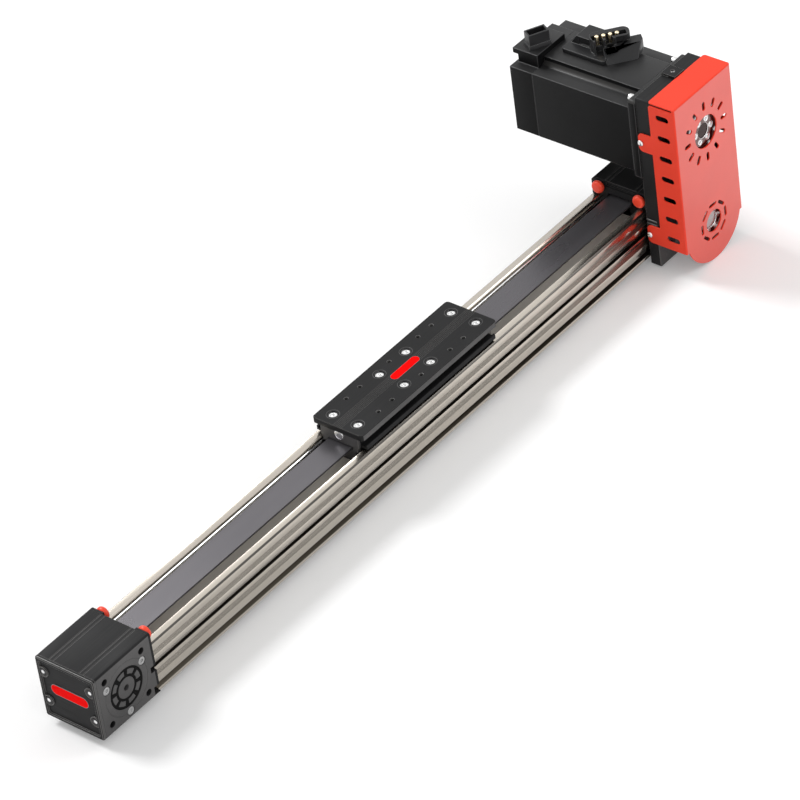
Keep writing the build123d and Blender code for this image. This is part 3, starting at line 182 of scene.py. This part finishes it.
def turned_steel(name, shade, roughness):
    # Turned steel or aluminium with fine tool marks.
    material = start_finish(name, shade, roughness, metallic=1.0)
    marks = grain(material, 2600.0, detail=2.0)
    cloud = grain(material, 60.0, detail=2.0)
    tint(material, cloud, scaled(shade, 0.9), scaled(shade, 1.08))
    sheen_range(material, marks, roughness - 0.06, roughness + 0.08)
    relief(material, [(marks, 0.05, 0.00001)])
    return material


def moulded_rubber(name, shade, roughness, specular=0.35):
    # Moulded rubber with a fine matt skin.
    material = start_finish(name, shade, roughness, specular=specular)
    skin = grain(material, 2400.0, detail=3.0)
    cloud = grain(material, 45.0, detail=2.0)
    tint(material, cloud, scaled(shade, 0.9), scaled(shade, 1.08))
    sheen_range(material, skin, roughness - 0.06, roughness + 0.06)
    relief(material, [(skin, 0.2, 0.00006)])
    return material


def belt_back():
    # Back of the toothed belt: dark grey with the faint lines of its cords.
    material = start_finish("belt_back", (0.030, 0.029, 0.031), 0.30, specular=1.0)
    shader_of(material).inputs["IOR"].default_value = 1.6
    shader_of(material).inputs["Specular Tint"].default_value = (0.93, 0.89, 0.96, 1.0)
    cords = add_node(material, "ShaderNodeTexWave", Scale=330.0, Distortion=0.4, Detail=1.0)
    cords.bands_direction = "Y"
    place = add_node(material, "ShaderNodeTexCoord")
    material.node_tree.links.new(place.outputs["Object"], cords.inputs["Vector"])
    cloud = grain(material, 30.0, (0.2, 1.0, 1.0), 3.0)
    tint(material, cloud, (0.028, 0.027, 0.029), (0.032, 0.031, 0.033))
    sheen_range(material, cloud, 0.26, 0.33)
    relief(material, [(cords.outputs["Fac"], 0.12, 0.00003)])
    return material


def cover_coat(name, shade, specular):
    # Red powder coat over the folded sheet, with a slight orange peel.
    material = start_finish(name, shade, 0.42, specular=specular)
    peel = grain(material, 900.0, detail=2.0)
    cloud = grain(material, 22.0, detail=3.0)
    tint(material, cloud, scaled(shade, 0.96), scaled(shade, 1.04))
    sheen_range(material, peel, 0.38, 0.46)
    relief(material, [(peel, 0.22, 0.00006)])
    return material


def label_enamel(name, shade, specular):
    # Plain enamelled plate.
    material = start_finish(name, shade, 0.45, specular=specular)
    cloud = grain(material, 120.0, detail=2.0)
    tint(material, cloud, scaled(shade, 0.97), scaled(shade, 1.03))
    sheen_range(material, cloud, 0.40, 0.50)
    return material


def motor_paint(name, shade, roughness, depth, specular):
    # Black paint over a casting, with a fine sandy texture.
    material = start_finish(name, shade, roughness, specular=specular)
    sand = grain(material, 1500.0)
    cloud = grain(material, 25.0, detail=3.0)
    tint(material, cloud, scaled(shade, 0.85), scaled(shade, 1.15))
    sheen_range(material, sand, roughness - 0.05, roughness + 0.07)
    relief(material, [(sand, 0.3, depth)])
    return material


black_skin = black_anodising("black_anodised", (0.014, 0.014, 0.0145), 0.50, drawn_along, 0.13)
cap_skin = black_anodising("end_cap_black", (0.016, 0.016, 0.0165), 0.42, milled_across, 0.10)
# Grey anodising of the caps, hubs and end plates; on the ±Y sides of housings, end caps, carriage plate
# and adapter it is a painted sheen.
milled_grey_and_side_sheen = black_anodising("milled_grey_and_side_sheen", (0.058, 0.056, 0.056), 0.42, milled_across, 0.5)
# A light and a dimmer shade painted on eased edges as highlights.
bright_edge_highlight = black_anodising("bright_edge_highlight", (0.10, 0.097, 0.094), 0.35, even, 0.4)
dim_edge_highlight = black_anodising("dim_edge_highlight", (0.055, 0.053, 0.052), 0.40, even, 0.3)
# A lighter shade painted on the walls of the carriage plate's grooves as highlights.
groove_wall_painted_highlight = black_anodising("groove_wall_painted_highlight", (0.036, 0.035, 0.034), 0.45, drawn_along, 0.26)
# A lighter shade painted on the motor's eased edges as a highlight.
motor_edge_highlight = motor_paint("motor_edge_highlight_material", (0.026, 0.026, 0.027), 0.35, 0.00005, 0.4)

finishes = {
    "profile_anodised": profile_anodising("profile_anodising", (0.56, 0.515, 0.455), 0.20),
    "rod_steel": ground_rod(),
    "black_anodised": black_skin,
    "grey_anodised": milled_grey_and_side_sheen,
    "machined_steel": turned_steel("turned_steel", (0.46, 0.45, 0.45), 0.20),
    "screw_steel": turned_steel("polished_steel", (0.78, 0.78, 0.78), 0.20),
    "bumper_rubber": moulded_rubber("bumper_rubber", (1.0, 0.072, 0.032), 0.36),
    "belt_rubber": belt_back(),
    "star_rubber": moulded_rubber("star_rubber", (0.005, 0.005, 0.005), 0.60, specular=0.06),
    "label_red": label_enamel("label_enamel", (0.98, 0.002, 0.002), 0.02),
    "cover_red": cover_coat("cover_coat", (0.90, 0.085, 0.045), 0.9),
    "motor_black": motor_paint("motor_paint", (0.006, 0.006, 0.0063), 0.42, 0.00008, 0.08),
    "motor_plastic": motor_paint("socket_plastic", (0.016, 0.016, 0.017), 0.38, 0.00005, 0.25),
    "contact_gold": turned_steel("contact_plating", (0.90, 0.78, 0.55), 0.28),
    "shoe_plastic": moulded_rubber("shoe_plastic", (0.05, 0.05, 0.055), 0.40),
}

bodies = frame["record"]["behaviour"]["bodies"]
slot_of = {piece["node"]: piece["material_slot"] for piece in frame["record"]["subparts"]}
body_of = {node: body for body, held in bodies.items() for node in held}
for name, node in parts.items():
    node.data.materials.clear()
    node.data.materials.append(finishes[slot_of[name]])


# New pieces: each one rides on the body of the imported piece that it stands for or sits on

merge_distance = 0.000002
flat_angle = radians(0.5)
sharp_angle = radians(40.0)
along, upward = Vector((1, 0, 0)), Vector((0, 0, 1))


def packed_shape(node_name, flatten=True):
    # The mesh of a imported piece, merged; with flatten on, each flat side is one face.
    shape = bmesh.new()
    shape.from_mesh(parts[node_name].data)
    bmesh.ops.remove_doubles(shape, verts=shape.verts, dist=merge_distance)
    if flatten:
        bmesh.ops.dissolve_limit(shape, angle_limit=flat_angle, verts=shape.verts, edges=shape.edges)
        shape.normal_update()
    return shape


def curved(face):
    # A facet of a round surface has no neighbour in its own plane and four corners at most.
    flat_neighbour = any(edge.calc_face_angle(0.0) < radians(0.3) for edge in face.edges)
    return len(face.verts) <= 4 and not flat_neighbour


def place_piece(name, shape, node_name, materials, stands_for=True):
    # With stands_for off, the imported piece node_name is still seen below the new one.
    for face in shape.faces:
        face.smooth = curved(face)
    mesh = bpy.data.meshes.new(name)
    shape.to_mesh(mesh)
    shape.free()
    for material in materials:
        mesh.materials.append(material)
    piece = bpy.data.objects.new(name, mesh)
    bpy.context.scene.collection.objects.link(piece)
    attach(piece, body_of[node_name])
    if stands_for:
        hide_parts(node_name)
    return piece


def ease_edges(node_name, width, materials, pick=None, painted_edge=None, steps=2):
    # The imported piece again, with its sharp edges eased; pick gives each face its material, and
    # painted_edge colours the eased edges, mostly as a painted highlight.
    shape = packed_shape(node_name)
    if pick:
        for face in shape.faces:
            face.material_index = pick(face)
    materials = list(materials)
    if painted_edge:
        materials.append(painted_edge)
    piece = place_piece(node_name + "_eased", shape, node_name, materials)
    eased = piece.modifiers.new("eased_edges", "BEVEL")
    eased.width = width
    eased.segments = steps
    eased.limit_method = "ANGLE"
    eased.angle_limit = sharp_angle
    eased.harden_normals = True
    eased.use_clamp_overlap = False
    if painted_edge:
        eased.material = len(materials) - 1


# Share of a face's normal that looks along an axis: square on to it, and hardly leaning away
square_on = 0.9
hardly_leaning = 0.97
groove_strip_half = 0.008


# Faces looking along ±Y take material 1, a lighter shade painted as the sheen those sides catch.
def side_sheen_faces(face):
    return 1 if abs(face.normal.y) > square_on else 0


def plate_face(face):
    # 1 for the long sides, a painted sheen, 2 for the walls of the fine grooves along the middle of the
    # plate, a painted highlight
    in_strip = abs(face.calc_center_median().y) < groove_strip_half
    return 2 if in_strip and 0.1 < face.normal.z < hardly_leaning else side_sheen_faces(face)


def motor_painted_light_faces(face):
    # 1 for the top, 2 for the hollow corners, 0 for the flat sides; 1 and 2 take lighter shades as painted
    # light
    if face.normal.z > square_on:
        return 1
    return 2 if max(abs(share) for share in face.normal) < hardly_leaning else 0


def islands(shape):
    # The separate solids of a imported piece, each as its own corner points.
    seen = set()
    found = []
    for start in shape.verts:
        if start in seen:
            continue
        seen.add(start)
        held = [start]
        for corner in held:
            for edge in corner.link_edges:
                neighbour = edge.other_vert(corner)
                if neighbour not in seen:
                    seen.add(neighbour)
                    held.append(neighbour)
        found.append(held)
    return found


def screw_seats(node_name, axis, middle=0.0):
    # Middle of the outer end of each solid of a node, and the way it looks along the axis.
    shape = packed_shape(node_name, flatten=False)
    seats = []
    for held in islands(shape):
        low = Vector([min(corner.co[i] for corner in held) for i in range(3)])
        high = Vector([max(corner.co[i] for corner in held) for i in range(3)])
        centre = (low + high) / 2
        outward = axis if centre.dot(axis) > middle else -axis
        end = high if sum(outward) > 0 else low
        seats.append((centre + outward * (end - centre).dot(outward), outward))
    shape.free()
    return seats


def spin_ring(shape, seat, outward, outline, steps=40):
    # A closed outline of (radius, height over the seat) turned round a screw's axis.
    side = outward.orthogonal().normalized()
    corners = [shape.verts.new(seat + side * radius + outward * height) for radius, height in outline]
    edges = [shape.edges.new((corners[i - 1], corners[i])) for i in range(len(corners))]
    bmesh.ops.spin(shape, geom=corners + edges, cent=seat, axis=outward, angle=tau, steps=steps,
                   use_merge=True)


def spin_cap(shape, seat, outward, outline, steps=32):
    # A domed head: the outline runs from its rim to a top point on the axis.
    side = outward.orthogonal().normalized()
    corners = [shape.verts.new(seat + side * radius + outward * height) for radius, height in outline]
    edges = [shape.edges.new(pair) for pair in zip(corners, corners[1:])]
    bmesh.ops.spin(shape, geom=corners + edges, cent=seat, axis=outward, angle=tau, steps=steps,
                   use_merge=True)
    bmesh.ops.remove_doubles(shape, verts=shape.verts, dist=0.00001)


def add_rings(name, node_name, seats, outline, material):
    shape = bmesh.new()
    for seat, outward in seats:
        spin_ring(shape, seat, outward, outline)
    bmesh.ops.recalc_face_normals(shape, faces=shape.faces)
    place_piece(name, shape, node_name, [material], stands_for=False)


def add_caps(name, node_name, seats, sink, outline, material):
    # One domed head on each seat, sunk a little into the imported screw.
    shape = bmesh.new()
    for seat, outward in seats:
        spin_cap(shape, seat - outward * sink, outward, outline)
    bmesh.ops.recalc_face_normals(shape, faces=shape.faces)
    place_piece(name, shape, node_name, [material], stands_for=False)


# Profile: ribbed bands, slots and rounded edges take darker shades than the plain strips: painted shade
rib_painted_shade = profile_anodising("rib_groove_painted_shade", (0.20, 0.183, 0.16), 0.30)
slot_painted_shade = profile_anodising("slot_painted_shade_material", (0.12, 0.105, 0.085), 0.35)
rounded_edge_painted_shade = profile_anodising("rounded_edge_painted_shade_material", (0.10, 0.094, 0.086), 0.30)
profile_half = 0.0325
profile_top = 0.055
rounded_edge = 0.003
rib_depth = 0.0012
skin_depth = 0.0001
slot_depth = 0.009
slot_top = 0.040
channel_half = 0.0235
channel_low, channel_high = 0.030, 0.046


def profile_face(face):
    # 1 in the grooves between the ribs, 2 inside the slots, 3 on the rounded top edges, each a painted
    # shade;
    # 4 on the channel floor, painted light
    place, normal = face.calc_center_median(), face.normal
    if abs(normal.x) > 0.5:
        return 0
    if normal.z > square_on and channel_low < place.z < channel_high and abs(place.y) < channel_half:
        return 4
    depth = profile_half - abs(place.y)
    on_top = place.z > profile_top - rounded_edge
    if on_top and depth < rounded_edge and 0.2 < abs(normal.y) < 0.98:
        return 3
    below_top = place.z < profile_top - rounded_edge
    if below_top and depth < rib_depth and (depth > skin_depth or abs(normal.z) > 0.5):
        return 1
    if rib_depth <= depth < slot_depth and place.z < slot_top:
        return 2
    return 0


# The channel floor lies in the shade of the belt; its pale matt shade is painted light.
channel_floor_painted_light = start_finish("channel_floor_painted_light_material", (0.66, 0.62, 0.56), 0.45)
floor_cloud = grain(channel_floor_painted_light, 14.0, (0.3, 1.0, 1.0), 3.0)
tint(channel_floor_painted_light, floor_cloud, (0.63, 0.59, 0.53), (0.69, 0.65, 0.59))
ease_edges("base_profile", 0.00004,
           [finishes["profile_anodised"], rib_painted_shade, slot_painted_shade, rounded_edge_painted_shade, channel_floor_painted_light],
           profile_face, steps=1)

# Housings, carriage and adapter: painted highlights as bright lines along their eased edges, and a painted
# sheen on their ±Y sides
for end in ("idler", "drive"):
    ease_edges(end + "_housing", 0.0003, [black_skin, milled_grey_and_side_sheen], side_sheen_faces, dim_edge_highlight)
    ease_edges(end + "_end_cap", 0.0004, [cap_skin, milled_grey_and_side_sheen], side_sheen_faces, bright_edge_highlight)
    ease_edges(end + "_bearing_caps", 0.00025, [milled_grey_and_side_sheen])
ease_edges("idler_coupling_hubs", 0.0003, [milled_grey_and_side_sheen])
ease_edges("drive_coupling_hub", 0.0003, [milled_grey_and_side_sheen])
ease_edges("carriage_plate", 0.00006, [black_skin, milled_grey_and_side_sheen, groove_wall_painted_highlight], plate_face, dim_edge_highlight,
           steps=1)
ease_edges("carriage_end_plates", 0.0003, [milled_grey_and_side_sheen], None, bright_edge_highlight)
ease_edges("adapter_plate", 0.0004, [black_skin, milled_grey_and_side_sheen], side_sheen_faces, bright_edge_highlight)
ease_edges("tension_block", 0.0003, [black_skin], None, bright_edge_highlight)
ease_edges("bumpers", 0.0028, [finishes["bumper_rubber"]], steps=6)

# Motor: the top and the hollow corners look lighter than the flat sides, by painted light in their shades
painted_light_motor_top = motor_paint("motor_top_painted_light", (0.017, 0.017, 0.0175), 0.38, 0.00008, 0.28)
painted_light_motor_hollow = motor_paint("motor_hollow_painted_light", (0.030, 0.029, 0.028), 0.52, 0.00004, 0.2)
motor_paint_and_painted_light = [finishes["motor_black"], painted_light_motor_top, painted_light_motor_hollow]
for name, width in (("motor_body", 0.0005), ("motor_rear_cover", 0.0006), ("motor_flange", 0.0006)):
    ease_edges(name, width, motor_paint_and_painted_light, motor_painted_light_faces, motor_edge_highlight, steps=3)
for name in ("power_connector", "signal_socket"):
    ease_edges(name, 0.0005, [finishes["motor_plastic"]], None, motor_edge_highlight, steps=3)
ease_edges("contact_pins", 0.0002, [finishes["contact_gold"]])

# Cover: the front has a clear coat over a paler red, a painted sheen; the flanges take a deeper red with
# little gloss, a painted shade
flange_painted_shade = cover_coat("cover_flange_painted_shade", (0.90, 0.060, 0.030), 0.15)
front_painted_sheen = cover_coat("cover_front_painted_sheen", (0.76, 0.068, 0.042), 0.7)
shader_of(front_painted_sheen).inputs["Coat Weight"].default_value = 0.7
shader_of(front_painted_sheen).inputs["Coat Roughness"].default_value = 0.35
shader_of(front_painted_sheen).inputs["Coat IOR"].default_value = 1.45
ease_edges("reducer_cover", 0.0002, [flange_painted_shade, front_painted_sheen], side_sheen_faces, flange_painted_shade)

# Screws: eased heads, dark steel on the sunk ones of the end caps, duller ones in the bearing caps
dull_steel = turned_steel("dull_steel", (0.42, 0.42, 0.42), 0.34)
dark_steel = turned_steel("dark_steel", (0.045, 0.045, 0.047), 0.26)
bright_steel = finishes["screw_steel"]
window_steel = turned_steel("window_steel", (0.17, 0.12, 0.115), 0.16)
shaft_steel = turned_steel("shaft_steel", (0.05, 0.035, 0.033), 0.22)
ease_edges("motor_clamp_ring", 0.0004, [window_steel], None, bright_steel)
ease_edges("driven_clamp_ring", 0.0004, [window_steel], None, bright_steel)
ease_edges("motor_shaft", 0.0004, [shaft_steel])
for name in ("carriage_screws", "motor_screws", "driven_clamp_screws", "motor_clamp_screws"):
    ease_edges(name, 0.0004, [bright_steel], steps=3)
ease_edges("cap_screws", 0.0004, [dull_steel], steps=3)
ease_edges("adapter_screws", 0.0004, [dark_steel], steps=3)
ease_edges("end_cap_screws", 0.0005, [dark_steel], steps=3)
ease_edges("cover_screws", 0.0008, [bright_steel], steps=4)

# End caps: a bright centre in each dark screw and a light ring round it; the dark head with its bright
# centre is a painted reflection of a domed head, and the ring is a painted highlight
cap_seats = screw_seats("end_cap_screws", along)
centre_outline = [(0.0023, 0.0), (0.0022, 0.0009), (0.0017, 0.0014), (0.0009, 0.00165), (0.0, 0.0017)]
add_caps("end_cap_screw_centres", "end_cap_screws", cap_seats, 0.0012, centre_outline, bright_steel)
ring_outline = [(0.0049, -0.0004), (0.0049, 0.0002), (0.0053, 0.0004), (0.0058, 0.0002), (0.0058, -0.0004)]
add_rings("end_cap_seat_highlight_rings", "end_cap_screws", cap_seats, ring_outline, bright_edge_highlight)

# Carriage: light rims round the screw seats and cut threads in the free holes
plate_seats = [(seat, upward) for seat, _ in screw_seats("carriage_screws", upward)]
plate_top = max(corner.co.z for corner in parts["carriage_plate"].data.vertices)
rim_seats = [(Vector((seat.x, seat.y, plate_top)), upward) for seat, _ in plate_seats]
rim_outline = [(0.0062, -0.0002), (0.0062, 0.00002), (0.0066, 0.00006), (0.0069, -0.0002)]
add_rings("carriage_seat_rims", "carriage_plate", rim_seats, rim_outline, milled_grey_and_side_sheen)

carriage_middle = sum(seat.x for seat, _ in plate_seats) / len(plate_seats)
thread_columns = (-0.0645, -0.044, 0.0, 0.044, 0.0645)
thread_rows = (-0.0195, 0.0195)
thread_seats = [(Vector((carriage_middle + x, y, plate_top)), upward)
                for x in thread_columns for y in thread_rows]
thread_wall, thread_root, thread_crest = 0.00245, 0.00225, 0.0018
thread_start, thread_end, thread_turns, thread_pitch = 0.0003, 0.0058, 7, 0.0008
thread_outline = [(thread_wall, -thread_end), (thread_wall, -thread_start)]
for turn in range(thread_turns):
    root = -thread_start - thread_pitch * turn
    thread_outline += [(thread_root, root), (thread_crest, root - thread_pitch / 2)]
cut_thread = black_anodising("cut_thread", (0.12, 0.117, 0.115), 0.40, even, 0.5)
add_rings("carriage_threads", "carriage_plate", thread_seats, thread_outline, cut_thread)

# Carriage ends: one broad domed screw on each end plate
end_seats = screw_seats("carriage_end_screws", along, carriage_middle)
end_outline = [(0.0056, 0.0), (0.0055, 0.0008), (0.0046, 0.0013), (0.0029, 0.0017), (0.0, 0.0018)]
add_caps("carriage_end_screw_heads", "carriage_end_screws", end_seats, 0.0004, end_outline, bright_steel)

# Cover tabs: domed screw heads
drive_shaft_x = 0.414
tab_seats = screw_seats("cover_screws", along, drive_shaft_x)
tab_outline = [(0.0031, 0.0), (0.0029, 0.0008), (0.0021, 0.0014), (0.0010, 0.0017), (0.0, 0.0018)]
add_caps("cover_screw_domes", "cover_screws", tab_seats, 0.0010, tab_outline, bright_steel)

# Label plates: the red face set in a narrow grey rim
label_rim = label_enamel("label_rim", (0.16, 0.19, 0.19), 0.4)


def rim_label(node_name, rim_width):
    # The plate's two round-ended faces are the only ones with many corners.
    shape = packed_shape(node_name)
    faces = [face for face in shape.faces if len(face.verts) > 8]
    for face in shape.faces:
        face.material_index = 1
    bmesh.ops.inset_individual(shape, faces=faces, thickness=rim_width)
    for face in faces:
        face.material_index = 0
    place_piece(node_name + "_rimmed", shape, node_name, [finishes["label_red"], label_rim])


rim_label("end_label", 0.0005)
rim_label("carriage_label", 0.00015)


# Studio: a white floor that keeps the module's shadow, a soft sky, two soft suns and two lamps

def seen_directly(nodes, links):
    # 1 for rays that show the background itself: from the camera, from gloss and through glass.
    path = nodes.new("ShaderNodeLightPath")
    first = nodes.new("ShaderNodeMath")
    first.operation = "MAXIMUM"
    second = nodes.new("ShaderNodeMath")
    second.operation = "MAXIMUM"
    links.new(path.outputs["Is Camera Ray"], first.inputs[0])
    links.new(path.outputs["Is Glossy Ray"], first.inputs[1])
    links.new(first.outputs[0], second.inputs[0])
    links.new(path.outputs["Is Transmission Ray"], second.inputs[1])
    return second.outputs[0]


sky_strength = 0.55
floor_grey = 0.86
floor_lift = 0.17
floor_drop = 0.0005
floor_half = 40.0


def make_sky():
    world = bpy.data.worlds.new("studio_sky")
    bpy.context.scene.world = world
    world.use_nodes = True
    nodes = world.node_tree.nodes
    links = world.node_tree.links
    background = nodes["Background"]
    background.inputs["Color"].default_value = (1.0, 1.0, 1.0, 1.0)
    spread = nodes.new("ShaderNodeMapRange")
    spread.inputs["To Min"].default_value = sky_strength
    spread.inputs["To Max"].default_value = 1.0
    links.new(seen_directly(nodes, links), spread.inputs["Value"])
    links.new(spread.outputs["Result"], background.inputs["Strength"])


def make_floor(height):
    mesh = bpy.data.meshes.new("studio_floor")
    shape = bmesh.new()
    bmesh.ops.create_grid(shape, x_segments=1, y_segments=1, size=floor_half)
    bmesh.ops.translate(shape, vec=(0.0, 0.0, height), verts=shape.verts)
    shape.to_mesh(mesh)
    shape.free()
    floor = bpy.data.objects.new("studio_floor", mesh)
    bpy.context.scene.collection.objects.link(floor)
    material = bpy.data.materials.new("studio_floor")
    material.use_nodes = True
    nodes = material.node_tree.nodes
    links = material.node_tree.links
    nodes.remove(nodes["Principled BSDF"])
    matt = nodes.new("ShaderNodeBsdfDiffuse")
    matt.inputs["Color"].default_value = (floor_grey, floor_grey, floor_grey, 1.0)
    glow = nodes.new("ShaderNodeEmission")
    lift = nodes.new("ShaderNodeMath")
    lift.operation = "MULTIPLY"
    lift.inputs[1].default_value = floor_lift
    both = nodes.new("ShaderNodeAddShader")
    links.new(seen_directly(nodes, links), lift.inputs[0])
    links.new(lift.outputs[0], glow.inputs["Strength"])
    links.new(matt.outputs[0], both.inputs[0])
    links.new(glow.outputs[0], both.inputs[1])
    links.new(both.outputs[0], nodes["Material Output"].inputs["Surface"])
    mesh.materials.append(material)


def make_sun(name, come_from, strength, softness):
    data = bpy.data.lights.new(name, "SUN")
    data.energy = strength
    data.angle = radians(softness)
    sun = bpy.data.objects.new(name, data)
    bpy.context.scene.collection.objects.link(sun)
    sun.rotation_euler = Vector(come_from).to_track_quat("Z", "Y").to_euler()


def make_softbox(name, place, aim, side, power, seen_matt):
    # A square lamp; with seen_matt off, only gloss takes its light.
    data = bpy.data.lights.new(name, "AREA")
    data.shape = "RECTANGLE"
    data.size = side
    data.size_y = side
    data.energy = power
    lamp = bpy.data.objects.new(name, data)
    bpy.context.scene.collection.objects.link(lamp)
    lamp.location = place
    lamp.rotation_euler = (Vector(place) - Vector(aim)).to_track_quat("Z", "Y").to_euler()
    lamp.visible_camera = False
    lamp.visible_diffuse = seen_matt


# The camera stands where the photograph's perspective puts it
camera_place = (-2.5344, -2.4515, 2.7970)
camera_azimuth = 43.79
camera_elevation = -37.83
camera_roll = -8.41
camera_lens = 214.24
camera_sensor = 36.0
camera_reach = 200.0


def make_camera():
    data = bpy.data.cameras.new("photo_camera")
    data.lens = camera_lens
    data.sensor_width = camera_sensor
    data.clip_end = camera_reach
    camera = bpy.data.objects.new("photo_camera", data)
    bpy.context.scene.collection.objects.link(camera)
    turn, tilt = radians(camera_azimuth), radians(camera_elevation)
    forward = Vector((cos(tilt) * cos(turn), cos(tilt) * sin(turn), sin(tilt)))
    level = forward.to_track_quat("-Z", "Y")
    camera.location = camera_place
    camera.rotation_euler = (level @ Quaternion((0, 0, 1), radians(camera_roll))).to_euler()
    bpy.context.scene.camera = camera


make_sky()
make_floor(cad_box[0][2] - floor_drop)
make_sun("key_sun", come_from=(-0.1, 0.75, 1.0), strength=1.65, softness=20.0)
make_sun("side_sun", come_from=(-0.5, -1.0, 0.6), strength=0.35, softness=40.0)
make_softbox("gloss_box", place=(0.30, 1.75, 1.95), aim=(-0.35, 0.0, 0.05), side=1.1, power=24.0,
             seen_matt=False)
make_softbox("front_box", place=(0.80, -0.95, 1.15), aim=(0.50, -0.10, 0.0), side=0.7, power=4.5,
             seen_matt=True)
make_camera()
bpy.context.scene.view_settings.view_transform = "Standard"
